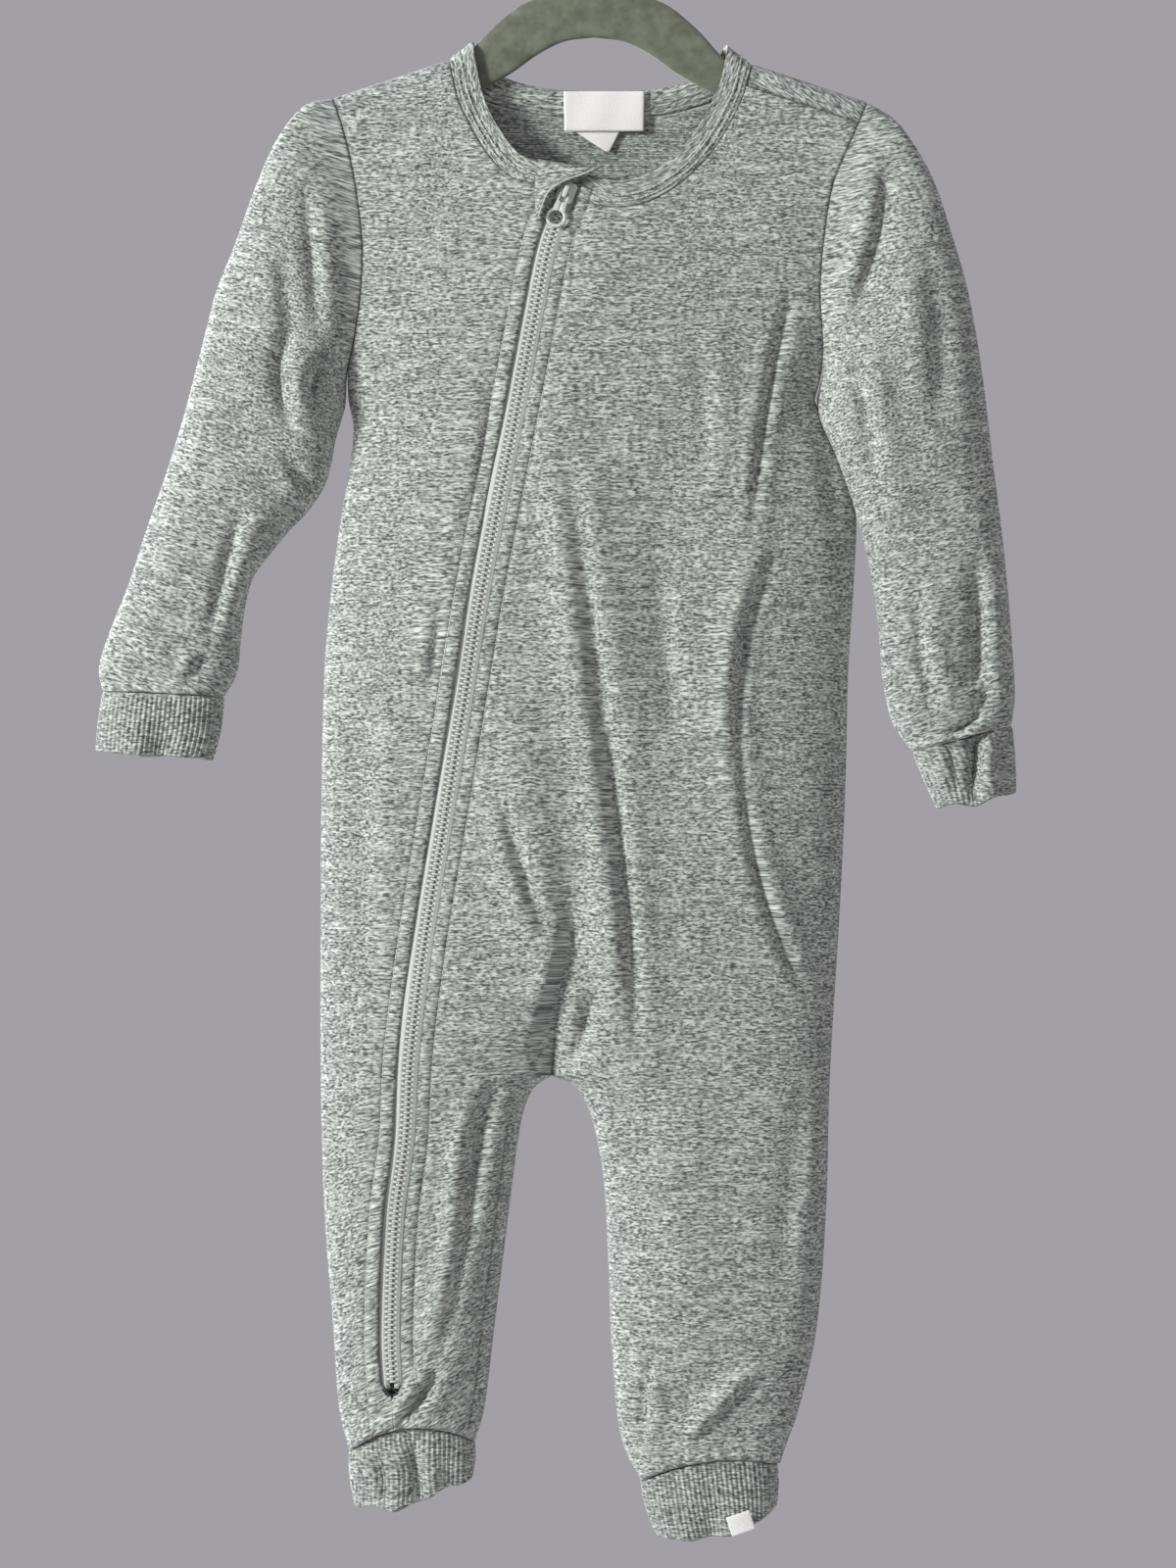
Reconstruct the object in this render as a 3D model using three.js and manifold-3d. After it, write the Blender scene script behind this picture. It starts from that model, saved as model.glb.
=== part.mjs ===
import * as THREE from 'three';
import Module from 'manifold-3d';
import { mergeVertices } from 'three/addons/utils/BufferGeometryUtils.js';

// A zip-front onesie pajama hanging flat on a flocked hanger.
// Millimetres, Z up, the front faces -Y, +X is the wearer's left.
// The origin is where a rail touches the inside of the hook.
// "drop" is a height measured down from the neck points, "arc" a distance over the cloth from the
// shoulder ridge, positive down the front and negative down the back.

// Driving sizes
const NECK_Z = -90;
const WALL = 1.8;
const BAND_WALL = 2.2;
const RIB_WALL = 2.4;
const TAPE_WALL = 1;
const GAP = 0.3;
const CURVED_GAP = 0.6;
const ROLL = 4.5;
const QUARTER = ROLL * Math.PI / 2;
const SPREAD = 150;
const RIDGE_SLOPE = 0.335;
const RIDGE_DROP = 9.5;
const NECK_HALF = 68;
const NECK_SOFT = 15;
const UNDERARM = 167;
const CROTCH = 481;
const CROTCH_X = -19.6;
const CROTCH_FADE = 75;
const LEG_STRAIGHT = 600;
const ARM_FLARE = 0.45;
const ARM_SOFT = 12;
const SHOULDER_FLARE = 220;
const SHOULDER_FORWARD = 10.5;
const ZIP_TOP = 74;
const ZIP_END = 627;
const ZIP_HALF_OPEN = 5.2;
const ZIP_CLOSING = 9;
const ZIP_CORNER = 0.93;

// Rows and columns of the cloth grids
const TRUNK_ROWS = 15;
const LEG_ROWS = 7;
const HEM_ROWS = 3;
const SLEEVE_ROWS = 13;
const CUFF_ROWS = 2;
const LOOP = 24;
const SHOULDER_COLUMNS = 4;
const LEFT_SHOULDER_COLUMNS = 5;
const FRONT_INNER_COLUMNS = 5;
const BACK_RIGHT_COLUMNS = 8;
const BAND_COLUMNS = 3;
const LEG_ROW_POWER = 1.5;
const ROW_EVENNESS = 0.55;
const SETTLE_STEPS = 12;
// Distances of the upper rows from the shoulder ridge, over the cloth
const RIDGE_ROWS = [142, 120, 98, 76, 56, 40, 26, 15, QUARTER, QUARTER * 2 / 3, QUARTER / 3, 0];
const FORWARD_SEAM_ROWS = [142, 126, 110, 94, 78, 62, 48, 36, 24, 13];

// Side seams and how far the front and the back stand off the middle, by height
const TRUNK = [
  { drop: 167, left: -114.0, right: 102.5, front: 19, back: 14 },
  { drop: 180, left: -111.8, right: 108.0, front: 20, back: 14 },
  { drop: 196, left: -113.2, right: 116.0, front: 21, back: 15 },
  { drop: 218, left: -116.9, right: 121.6, front: 22, back: 16 },
  { drop: 255, left: -121.9, right: 120.6, front: 23, back: 17 },
  { drop: 291, left: -125.1, right: 118.3, front: 23, back: 18 },
  { drop: 346, left: -126.5, right: 116.9, front: 22, back: 18 },
  { drop: 400, left: -126.9, right: 114.5, front: 21, back: 18 },
  { drop: 481, left: -126.9, right: 109.7, front: 18, back: 16 },
  { drop: 546, left: -125.1, right: 107.8, front: 16, back: 14 },
  { drop: 600, left: -121.0, right: 103.3, front: 15, back: 13 },
  { drop: 637, left: -118.3, right: 95.1, front: 14, back: 12 },
  { drop: 657, left: -113.3, right: 88.0, front: 13, back: 11 },
  { drop: 670, left: -111.0, right: 84.5, front: 13, back: 11 },
];

// Inner edges of the two legs by height
const INSEAM = [
  { drop: 481, left: -19.6, right: -19.6 },
  { drop: 485, left: -26.0, right: -10.0 },
  { drop: 491, left: -30.4, right: -5.2 },
  { drop: 502, left: -34.0, right: -0.4 },
  { drop: 528, left: -37.8, right: 4.6 },
  { drop: 564, left: -42.3, right: 6.8 },
  { drop: 601, left: -46.9, right: 8.2 },
  { drop: 637, left: -51.4, right: 10.9 },
  { drop: 655, left: -56.4, right: 14.5 },
  { drop: 670, left: -58.0, right: 22.5 },
];

// Where the armhole seams run by height
const ARMHOLE = [
  { drop: 27, left: -121.0, right: 128.0 },
  { drop: 39, left: -117.2, right: 123.0 },
  { drop: 52, left: -113.8, right: 117.4 },
  { drop: 68, left: -110.6, right: 111.0 },
  { drop: 95, left: -107.4, right: 106.6 },
  { drop: 118, left: -108.2, right: 105.1 },
  { drop: 141, left: -111.5, right: 106.4 },
  { drop: 154, left: -114.2, right: 105.8 },
  { drop: 167, left: -114.0, right: 102.5 },
];

// Centre line of the zip by height
const ZIP_LINE = [
  { drop: 58, x: -8.2 },
  { drop: 74, x: -13.4 },
  { drop: 95, x: -21.2 },
  { drop: 127, x: -27.8 },
  { drop: 182, x: -38.2 },
  { drop: 255, x: -52.3 },
  { drop: 309, x: -61.0 },
  { drop: 364, x: -70.1 },
  { drop: 419, x: -79.2 },
  { drop: 473, x: -85.8 },
  { drop: 510, x: -87.8 },
  { drop: 546, x: -92.4 },
  { drop: 601, x: -94.6 },
  { drop: 627, x: -93.3 },
  { drop: 660, x: -91.5 },
];

// Seam and free edge of the neckband: from the zip up the right front, round the back, down the left front
const NECK = [
  { side: 1, seamX: -17.4, seamDrop: 69.8, freeX: -13.2, freeDrop: 59.6 },
  { side: 1, seamX: -27.5, seamDrop: 67.4, freeX: -24.0, freeDrop: 57.4 },
  { side: 1, seamX: -36.9, seamDrop: 64.6, freeX: -32.5, freeDrop: 54.8 },
  { side: 1, seamX: -43.4, seamDrop: 59.6, freeX: -37.3, freeDrop: 50.8 },
  { side: 1, seamX: -50.2, seamDrop: 51.5, freeX: -42.2, freeDrop: 44.2 },
  { side: 1, seamX: -56.4, seamDrop: 41.0, freeX: -47.6, freeDrop: 35.0 },
  { side: 1, seamX: -61.9, seamDrop: 29.6, freeX: -51.6, freeDrop: 25.0 },
  { side: 1, seamX: -65.1, seamDrop: 18.2, freeX: -54.2, freeDrop: 15.4 },
  { side: 0, seamX: -66.4, seamDrop: 0, freeX: -56.0, freeDrop: 0 },
  { side: -1, seamX: -63.0, seamDrop: 19.5, freeX: -53.2, freeDrop: 12.5 },
  { side: -1, seamX: -52.5, seamDrop: 26.5, freeX: -44.5, freeDrop: 16.0 },
  { side: -1, seamX: -36.0, seamDrop: 31.5, freeX: -31.4, freeDrop: 19.6 },
  { side: -1, seamX: -16.5, seamDrop: 34.2, freeX: -14.6, freeDrop: 21.8 },
  { side: -1, seamX: 3.0, seamDrop: 35.0, freeX: 2.7, freeDrop: 22.4 },
  { side: -1, seamX: 24.0, seamDrop: 34.4, freeX: 21.2, freeDrop: 22.0 },
  { side: -1, seamX: 44.0, seamDrop: 31.0, freeX: 38.5, freeDrop: 20.0 },
  { side: -1, seamX: 61.5, seamDrop: 24.0, freeX: 52.8, freeDrop: 15.5 },
  { side: 0, seamX: 71.9, seamDrop: 0, freeX: 61.2, freeDrop: 0 },
  { side: 1, seamX: 70.6, seamDrop: 21.4, freeX: 60.0, freeDrop: 17.2 },
  { side: 1, seamX: 65.9, seamDrop: 33.2, freeX: 56.0, freeDrop: 26.8 },
  { side: 1, seamX: 59.8, seamDrop: 44.6, freeX: 50.4, freeDrop: 37.4 },
  { side: 1, seamX: 52.8, seamDrop: 54.6, freeX: 44.3, freeDrop: 46.4 },
  { side: 1, seamX: 43.5, seamDrop: 64.2, freeX: 36.7, freeDrop: 54.9 },
  { side: 1, seamX: 32.3, seamDrop: 72.3, freeX: 27.7, freeDrop: 61.2 },
  { side: 1, seamX: 21.5, seamDrop: 77.0, freeX: 19.0, freeDrop: 65.0 },
  { side: 1, seamX: 10.5, seamDrop: 78.5, freeX: 10.6, freeDrop: 66.4 },
  { side: 1, seamX: 1.0, seamDrop: 77.4, freeX: 3.4, freeDrop: 65.2 },
  { side: 1, seamX: -8.0, seamDrop: 75.0, freeX: -3.0, freeDrop: 63.2 },
];
const NECK_RIGHT_RIDGE = 8;
const NECK_LEFT_RIDGE = 17;
const NECK_LEFT_SEAM = 18;
const ROLL_STEPS = 3;

// Sleeve sections from the armhole to the cuff: outer and inner edge, half thickness, how far ahead
const SLEEVE_RIGHT = [
  { outX: -121.0, outDrop: 27.3, inX: -116.3, inDrop: 166, depth: 12, ahead: 0 },
  { outX: -134.5, outDrop: 31, inX: -118.0, inDrop: 171, depth: 13, ahead: 1 },
  { outX: -147.0, outDrop: 47, inX: -120.8, inDrop: 178, depth: 14, ahead: 3 },
  { outX: -157.0, outDrop: 70, inX: -122.4, inDrop: 187, depth: 15, ahead: 4 },
  { outX: -166.0, outDrop: 95, inX: -122.8, inDrop: 196, depth: 15, ahead: 4 },
  { outX: -175.0, outDrop: 118, inX: -126.0, inDrop: 207, depth: 15, ahead: 4 },
  { outX: -182.5, outDrop: 147, inX: -134.0, inDrop: 219, depth: 15, ahead: 4 },
  { outX: -190.0, outDrop: 176, inX: -143.5, inDrop: 229, depth: 15, ahead: 5 },
  { outX: -198.0, outDrop: 202, inX: -151.5, inDrop: 239, depth: 15, ahead: 5 },
  { outX: -207.0, outDrop: 228, inX: -158.8, inDrop: 249, depth: 15, ahead: 6 },
  { outX: -215.2, outDrop: 253, inX: -162.8, inDrop: 263, depth: 15, ahead: 6 },
  { outX: -223.5, outDrop: 274, inX: -165.0, inDrop: 280, depth: 15, ahead: 6 },
  { outX: -228.9, outDrop: 291, inX: -166.6, inDrop: 294, depth: 14, ahead: 6 },
  { outX: -227.4, outDrop: 302.6, inX: -172.4, inDrop: 304.8, depth: 12, ahead: 6 },
];
const SLEEVE_LEFT = [
  { outX: 127.6, outDrop: 29.4, inX: 104.8, inDrop: 166, depth: 12, ahead: 0 },
  { outX: 140.2, outDrop: 38, inX: 106.2, inDrop: 171, depth: 13, ahead: 2 },
  { outX: 150.0, outDrop: 52, inX: 108.6, inDrop: 177, depth: 14, ahead: 4 },
  { outX: 158.3, outDrop: 69, inX: 112.2, inDrop: 184, depth: 15, ahead: 6 },
  { outX: 165.3, outDrop: 91, inX: 116.4, inDrop: 191, depth: 16, ahead: 7 },
  { outX: 172.0, outDrop: 114, inX: 121.2, inDrop: 201, depth: 16, ahead: 8 },
  { outX: 177.0, outDrop: 140, inX: 124.8, inDrop: 213, depth: 16, ahead: 9 },
  { outX: 181.0, outDrop: 168, inX: 128.2, inDrop: 229, depth: 16, ahead: 9 },
  { outX: 184.6, outDrop: 198, inX: 131.6, inDrop: 245, depth: 15, ahead: 8 },
  { outX: 188.2, outDrop: 226, inX: 133.6, inDrop: 260, depth: 15, ahead: 8 },
  { outX: 191.2, outDrop: 255, inX: 134.4, inDrop: 278, depth: 15, ahead: 8 },
  { outX: 193.2, outDrop: 280, inX: 135.2, inDrop: 298, depth: 15, ahead: 8 },
  { outX: 194.6, outDrop: 304, inX: 139.5, inDrop: 317, depth: 14, ahead: 8 },
  { outX: 193.0, outDrop: 318.2, inX: 148.6, inDrop: 330.2, depth: 12, ahead: 8 },
];
const BOW_FADE = 0.4;
const UNDERARM_POWER = 6;

// Rib cuffs from their seam to the hem
const WRIST_RIGHT = [
  { outX: -227.2, outDrop: 303.1, inX: -172.7, inDrop: 305.3, depth: 12, ahead: 6 },
  { outX: -229.3, outDrop: 317.0, inX: -174.2, inDrop: 320.0, depth: 12.5, ahead: 6 },
  { outX: -230.5, outDrop: 331.0, inX: -178.0, inDrop: 334.4, depth: 12, ahead: 6 },
];
const WRIST_LEFT = [
  { outX: 193.2, outDrop: 318.8, inX: 148.9, inDrop: 330.8, depth: 12, ahead: 8 },
  { outX: 194.6, outDrop: 334.0, inX: 154.5, inDrop: 344.5, depth: 12, ahead: 8 },
  { outX: 195.2, outDrop: 350.6, inX: 160.2, inDrop: 357.4, depth: 11, ahead: 8 },
];
const ANKLE_RIGHT = [
  { outX: -113.3, outDrop: 656.6, inX: -56.4, inDrop: 651.8, depth: 12, ahead: 0.5, sag: -10 },
  { outX: -112.6, outDrop: 669.0, inX: -56.2, inDrop: 659.5, depth: 12.5, ahead: 0.5, sag: -5 },
  { outX: -110.2, outDrop: 682.0, inX: -57.4, inDrop: 667.0, depth: 12, ahead: 0.5, sag: 5 },
];
const ANKLE_LEFT = [
  { outX: 84.6, outDrop: 662.0, inX: 22.4, inDrop: 670.3, depth: 12, ahead: 0.5, sag: -6 },
  { outX: 85.0, outDrop: 672.0, inX: 25.2, inDrop: 682.0, depth: 12.5, ahead: 0.5, sag: 1 },
  { outX: 84.2, outDrop: 682.6, inX: 29.4, inDrop: 694.0, depth: 12, ahead: 0.5, sag: 7 },
];

// The largest folds: start, middle and end of each, its height (a trough is negative) and half width
const FRONT_FOLDS = [
  { x1: 91, d1: 138, x2: 78, d2: 185, x3: 75, d3: 235, height: 4, width: 7 },
  { x1: 76, d1: 238, x2: 63, d2: 300, x3: 72, d3: 366, height: 5, width: 8 },
  { x1: 72, d1: 362, x2: 82, d2: 395, x3: 97, d3: 440, height: 4, width: 8 },
  { x1: -14, d1: 164, x2: -2, d2: 255, x3: 10, d3: 342, height: 4.5, width: 13 },
  { x1: 10, d1: 340, x2: 16, d2: 415, x3: 25, d3: 482, height: 4, width: 11 },
  { x1: -38, d1: 300, x2: -30, d2: 370, x3: -24, d3: 440, height: 3.5, width: 12 },
  { x1: 40, d1: 180, x2: 36, d2: 270, x3: 40, d3: 360, height: -3, width: 16 },
  { x1: -12, d1: 380, x2: -8, d2: 420, x3: -4, d3: 462, height: -3, width: 8 },
  { x1: -64, d1: 200, x2: -70, d2: 262, x3: -76, d3: 300, height: 2, width: 9 },
  { x1: -44, d1: 500, x2: -60, d2: 560, x3: -76, d3: 618, height: 3.5, width: 10 },
  { x1: -62, d1: 608, x2: -72, d2: 628, x3: -84, d3: 643, height: 2.5, width: 6 },
  { x1: 84, d1: 616, x2: 62, d2: 632, x3: 46, d3: 652, height: 3, width: 7 },
  { x1: 34, d1: 500, x2: 42, d2: 560, x3: 50, d3: 615, height: 2.5, width: 16 },
];
const BACK_FOLDS = [
  { x1: 70, d1: 150, x2: 60, d2: 240, x3: 66, d3: 340, height: 4, width: 10 },
  { x1: -68, d1: 170, x2: -60, d2: 260, x3: -70, d3: 350, height: 3.5, width: 12 },
  { x1: -30, d1: 250, x2: -22, d2: 350, x3: -30, d3: 450, height: 4, width: 14 },
  { x1: 28, d1: 290, x2: 16, d2: 380, x3: 4, d3: 460, height: 4, width: 13 },
  { x1: -52, d1: 500, x2: -66, d2: 560, x3: -86, d3: 620, height: 3, width: 11 },
  { x1: 30, d1: 500, x2: 46, d2: 560, x3: 60, d3: 625, height: 3, width: 12 },
];

// Small values used by the grids
const clamp = (value, low, high) => Math.min(Math.max(value, low), high);
const mix = (a, b, t) => a + (b - a) * t;
const ease = (t) => t * t * (3 - 2 * t);

// A smooth function through one column of a table
function curve(table, key, column) {
  const last = table.length - 1;
  const slope = (n) => {
    const before = table[Math.max(n - 1, 0)];
    const after = table[Math.min(n + 1, last)];
    return (after[column] - before[column]) / (after[key] - before[key]);
  };
  return (at) => {
    const value = clamp(at, table[0][key], table[last][key]);
    let n = 0;
    while (n < last - 1 && table[n + 1][key] < value) n += 1;
    const span = table[n + 1][key] - table[n][key];
    const t = (value - table[n][key]) / span;
    const rise = slope(n) * span;
    const fall = slope(n + 1) * span;
    const a = table[n][column];
    const b = table[n + 1][column];
    return a + rise * t + (3 * (b - a) - 2 * rise - fall) * t * t + (2 * (a - b) + rise + fall) * t ** 3;
  };
}

const sideLeft = curve(TRUNK, 'drop', 'left');
const sideRight = curve(TRUNK, 'drop', 'right');
const standOff = { front: curve(TRUNK, 'drop', 'front'), back: curve(TRUNK, 'drop', 'back') };
const inseam = { left: curve(INSEAM, 'drop', 'left'), right: curve(INSEAM, 'drop', 'right') };
const armhole = { left: curve(ARMHOLE, 'drop', 'left'), right: curve(ARMHOLE, 'drop', 'right') };
const zipX = curve(ZIP_LINE, 'drop', 'x');

// Height of the shoulder ridge
const ridge = (x) => RIDGE_DROP + RIDGE_SLOPE * (Math.hypot(x, NECK_SOFT) - Math.hypot(NECK_HALF, NECK_SOFT));

// How a flat tube's wall rounds in towards its edge
const rounding = (s, power) => (1 - Math.min(Math.abs(s), 1) ** 3) ** power;

// Height of one fold at a place on the cloth
function foldHeight(fold, x, drop) {
  const steps = 8;
  let best = 0;
  let from = null;
  for (let i = 0; i <= steps; i += 1) {
    const t = i / steps;
    const bend = 2 * (1 - t) * t;
    const midX = 2 * fold.x2 - (fold.x1 + fold.x3) / 2;
    const midD = 2 * fold.d2 - (fold.d1 + fold.d3) / 2;
    const to = {
      x: (1 - t) ** 2 * fold.x1 + bend * midX + t * t * fold.x3,
      d: (1 - t) ** 2 * fold.d1 + bend * midD + t * t * fold.d3,
      t,
    };
    if (from) {
      const dx = to.x - from.x;
      const dd = to.d - from.d;
      const share = clamp(((x - from.x) * dx + (drop - from.d) * dd) / (dx * dx + dd * dd), 0, 1);
      const away = Math.hypot(x - from.x - share * dx, drop - from.d - share * dd) / fold.width;
      const place = mix(from.t, to.t, share);
      best = Math.max(best, Math.exp(-away * away) * Math.sin(Math.PI * mix(0.08, 0.92, place)));
    }
    from = to;
  }
  return best * fold.height;
}

const foldsAt = (folds, x, drop) => folds.reduce((sum, fold) => sum + foldHeight(fold, x, drop), 0);

// How far the front or back cloth lies from the middle plane
function depthAt(side, x, drop) {
  const fall = drop - ridge(x);
  const spread = mix(ROLL, standOff[side](drop), ease(clamp(fall / SPREAD, 0, 1)));
  const roll = Math.sqrt(1 - (1 - clamp(fall / ROLL, 0, 1)) ** 2);
  let shape = 1;
  if (drop < UNDERARM) {
    const up = UNDERARM - drop;
    const flare = ARM_FLARE * up * up / (up + ARM_SOFT) + SHOULDER_FLARE * (up / UNDERARM) ** 3;
    const left = armhole.left(drop) - flare;
    const right = armhole.right(drop) + flare;
    shape = rounding((2 * x - left - right) / (right - left), 0.5);
  } else {
    const left = sideLeft(drop);
    const right = sideRight(drop);
    const onLeft = x < middleX(drop) || (drop > CROTCH && x < (inseam.left(drop) + inseam.right(drop)) / 2);
    const low = onLeft ? left : (drop > CROTCH ? inseam.right(drop) : middleX(drop));
    const high = onLeft ? (drop > CROTCH ? inseam.left(drop) : middleX(drop)) : right;
    const apart = ease(clamp((drop - CROTCH + CROTCH_FADE) / CROTCH_FADE, 0, 1));
    const whole = rounding((2 * x - left - right) / (right - left), 0.5);
    const outside = onLeft ? x < (low + high) / 2 : x > (low + high) / 2;
    const leg = rounding((2 * x - low - high) / (high - low), outside ? 0.5 : 1 - apart / 2);
    shape = mix(whole, leg, apart);
  }
  const folds = side === 'front' ? FRONT_FOLDS : BACK_FOLDS;
  const room = clamp((shape - 0.25) / 0.4, 0, 1) * clamp((fall - 2 * ROLL) / (8 * ROLL), 0, 1);
  return spread * roll * shape + foldsAt(folds, x, drop) * ease(room);
}

// The column that becomes the inside of both legs
function middleX(drop) {
  const share = (CROTCH_X - zipX(CROTCH)) / (sideRight(CROTCH) - zipX(CROTCH));
  const right = drop < UNDERARM ? armhole.right(drop) : sideRight(drop);
  return mix(zipX(drop), right, share);
}

// Arc and height on the cloth at one x
const arcOf = (x, drop) => Math.max(drop - ridge(x), ROLL) - ROLL + QUARTER;
const fallOf = (arc) => (Math.abs(arc) < QUARTER
  ? ROLL * (1 - Math.cos(arc / ROLL))
  : ROLL + Math.abs(arc) - QUARTER);

// A point on the garment's middle surface
function onCloth(x, arc, lift = 0) {
  const drop = ridge(x) + fallOf(arc);
  const side = arc >= 0 ? 'front' : 'back';
  const y = depthAt(side, x, drop) * (arc >= 0 ? -1 : 1);
  return new THREE.Vector3(x, y, NECK_Z - drop + lift);
}

// A point at a given height, moved out from the cloth by a distance along its normal
function offCloth(side, x, drop, away) {
  const sign = side === 'front' ? -1 : 1;
  const step = 1;
  const y = depthAt(side, x, drop);
  const slopeX = (depthAt(side, x + step, drop) - depthAt(side, x - step, drop)) / (2 * step);
  const slopeD = (depthAt(side, x, drop + step) - depthAt(side, x, drop - step)) / (2 * step);
  const normal = new THREE.Vector3(-slopeX, sign, slopeD).normalize();
  return new THREE.Vector3(x, sign * y, NECK_Z - drop).addScaledVector(normal, away);
}

// A sheet of cloth: patches of points that share their edges, made into a closed wall
class Sheet {
  constructor() {
    this.points = [];
    this.quads = [];
    this.index = new Map();
  }

  vertex(point) {
    const key = [point.x, point.y, point.z].map((value) => value.toFixed(3)).join();
    if (!this.index.has(key)) {
      this.index.set(key, this.points.length);
      this.points.push(point);
    }
    return this.index.get(key);
  }

  patch(rows) {
    const ids = rows.map((row) => row.map((point) => this.vertex(point)));
    for (let i = 0; i + 1 < ids.length; i += 1) {
      for (let j = 0; j + 1 < ids[i].length; j += 1) {
        this.quads.push([ids[i][j], ids[i + 1][j], ids[i + 1][j + 1], ids[i][j + 1]]);
      }
    }
    return this;
  }

  // Level seams keep the edges of two panels in the middle plane apart by their gap
  normals(levelSeams) {
    const sums = this.points.map(() => new THREE.Vector3());
    this.quads.forEach((quad) => {
      const [a, b, c, d] = quad.map((n) => this.points[n]);
      const face = new THREE.Vector3().crossVectors(c.clone().sub(a), d.clone().sub(b));
      quad.forEach((n) => sums[n].add(face));
    });
    return sums.map((sum, n) => {
      if (levelSeams && Math.abs(this.points[n].y) < GAP) sum.y = 0;
      return sum.normalize();
    });
  }

  wall(thickness, levelSeams = true) {
    const half = thickness / 2;
    const normals = this.normals(levelSeams);
    const count = this.points.length;
    const outer = this.points.map((point, n) => point.clone().addScaledVector(normals[n], half));
    const inner = this.points.map((point, n) => point.clone().addScaledVector(normals[n], -half));
    const faces = [];
    const edges = new Map();
    this.quads.forEach(([a, b, c, d]) => {
      faces.push([a, b, c], [a, c, d], [a + count, c + count, b + count], [a + count, d + count, c + count]);
      [[a, b], [b, c], [c, d], [d, a]].forEach(([from, to]) => {
        if (edges.has(`${to},${from}`)) edges.delete(`${to},${from}`);
        else edges.set(`${from},${to}`, [from, to]);
      });
    });
    edges.forEach(([from, to]) => {
      faces.push([from, from + count, to], [to, from + count, to + count]);
    });
    const geometry = new THREE.BufferGeometry();
    const positions = [...outer, ...inner].flatMap((point) => [point.x, point.y, point.z]);
    geometry.setAttribute('position', new THREE.Float32BufferAttribute(positions, 3));
    geometry.setIndex(faces.flat());
    return geometry;
  }
}

// A patch between four edges, in x and arc; a side edge's curve dies away from it by a power
function coons(bottom, top, left, right, across, up) {
  return up.map((t, i) => across.map((u, j) => {
    const straight = (from, to) => (1 - t) * from + t * to;
    const edge = (name) => straight(bottom[j][name], top[j][name])
      + (1 - u) ** 3 * (left[i][name] - straight(bottom[0][name], top[0][name]))
      + u ** 4 * (right[i][name] - straight(bottom.at(-1)[name], top.at(-1)[name]));
    return { x: edge('x'), arc: edge('arc') };
  }));
}

// Place on the zip line, some way across it
function besideZip(drop, across) {
  const step = 2;
  const slope = (zipX(drop + step) - zipX(drop - step)) / (2 * step);
  const length = Math.hypot(1, slope);
  return { x: zipX(drop) + across / length, drop: drop - slope * across / length };
}

const zipOpening = (drop) => {
  const closed = ease(clamp((drop - ZIP_END + ZIP_CLOSING / 2) / ZIP_CLOSING, 0, 1));
  return mix(ZIP_HALF_OPEN, GAP / 2, closed);
};

// Shares of a row's width, closer together at its chosen ends
const spaced = (count, kind) => Array.from({ length: count + 1 }, (_, n) => {
  const t = n / count;
  if (kind === 'start') return 1 - Math.cos(t * Math.PI / 2);
  if (kind === 'end') return Math.sin(t * Math.PI / 2);
  if (kind === 'both') return (1 - Math.cos(t * Math.PI)) / 2;
  return t;
});

// The neck ring in x and arc, with more places where it rolls over the shoulders
function neckRing() {
  const ring = [];
  const marks = {};
  NECK.forEach((entry, n) => {
    const place = {
      seamX: entry.seamX,
      seamArc: entry.side * arcOf(entry.seamX, entry.seamDrop),
      freeX: entry.freeX,
      freeArc: entry.side * arcOf(entry.freeX, entry.freeDrop),
    };
    const before = ring.at(-1);
    const overRidge = n === NECK_RIGHT_RIDGE || n === NECK_LEFT_RIDGE
      || n === NECK_RIGHT_RIDGE + 1 || n === NECK_LEFT_RIDGE + 1;
    if (overRidge) {
      const away = before.seamArc === 0 ? place : before;
      const steps = Array.from({ length: ROLL_STEPS }, (_, k) => (k + 1) / ROLL_STEPS);
      const inOrder = before.seamArc === 0 ? steps : steps.reverse();
      inOrder.forEach((step) => {
        const share = step * QUARTER / Math.abs(away.seamArc);
        const ridgeEntry = before.seamArc === 0 ? before : place;
        ring.push(Object.fromEntries(Object.keys(place).map((name) => (
          [name, mix(ridgeEntry[name], away[name], share)]))));
      });
    }
    ring.push(place);
    if (n === NECK_RIGHT_RIDGE) marks.rightRidge = ring.length - 1;
    if (n === NECK_LEFT_RIDGE) marks.leftRidge = ring.length - 1;
    if (n === NECK_LEFT_SEAM) marks.leftSeam = ring.length - 1;
  });
  return { ring, marks };
}
const { ring: RING, marks: RING_MARKS } = neckRing();

// Point of the neck seam, kept a seam's gap outside the band
function neckSeam(n) {
  const { seamX, seamArc, freeX, freeArc } = RING[n];
  const gap = CURVED_GAP / Math.hypot(seamX - freeX, seamArc - freeArc);
  return { x: seamX + (seamX - freeX) * gap, arc: seamArc + (seamArc - freeArc) * gap };
}

// Shoulder seam from the neck to the armhole, on the ridge or forward of it
function shoulderSeam(neck, tip, count) {
  return Array.from({ length: count }, (_, n) => ({
    x: mix(neck.x, tip.x, (n + 1) / count),
    arc: mix(neck.arc, tip.arc, (n + 1) / count),
  }));
}

// Heights of the rows below the underarm, as shares for each stretch
const trunkDrops = Array.from({ length: TRUNK_ROWS + 1 }, (_, n) => mix(UNDERARM, CROTCH, n / TRUNK_ROWS));
const legDrops = Array.from({ length: LEG_ROWS + 1 }, (_, n) => (
  mix(CROTCH, LEG_STRAIGHT, (n / LEG_ROWS) ** LEG_ROW_POWER)));
const hemShares = Array.from({ length: HEM_ROWS + 1 }, (_, n) => n / HEM_ROWS);

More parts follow.
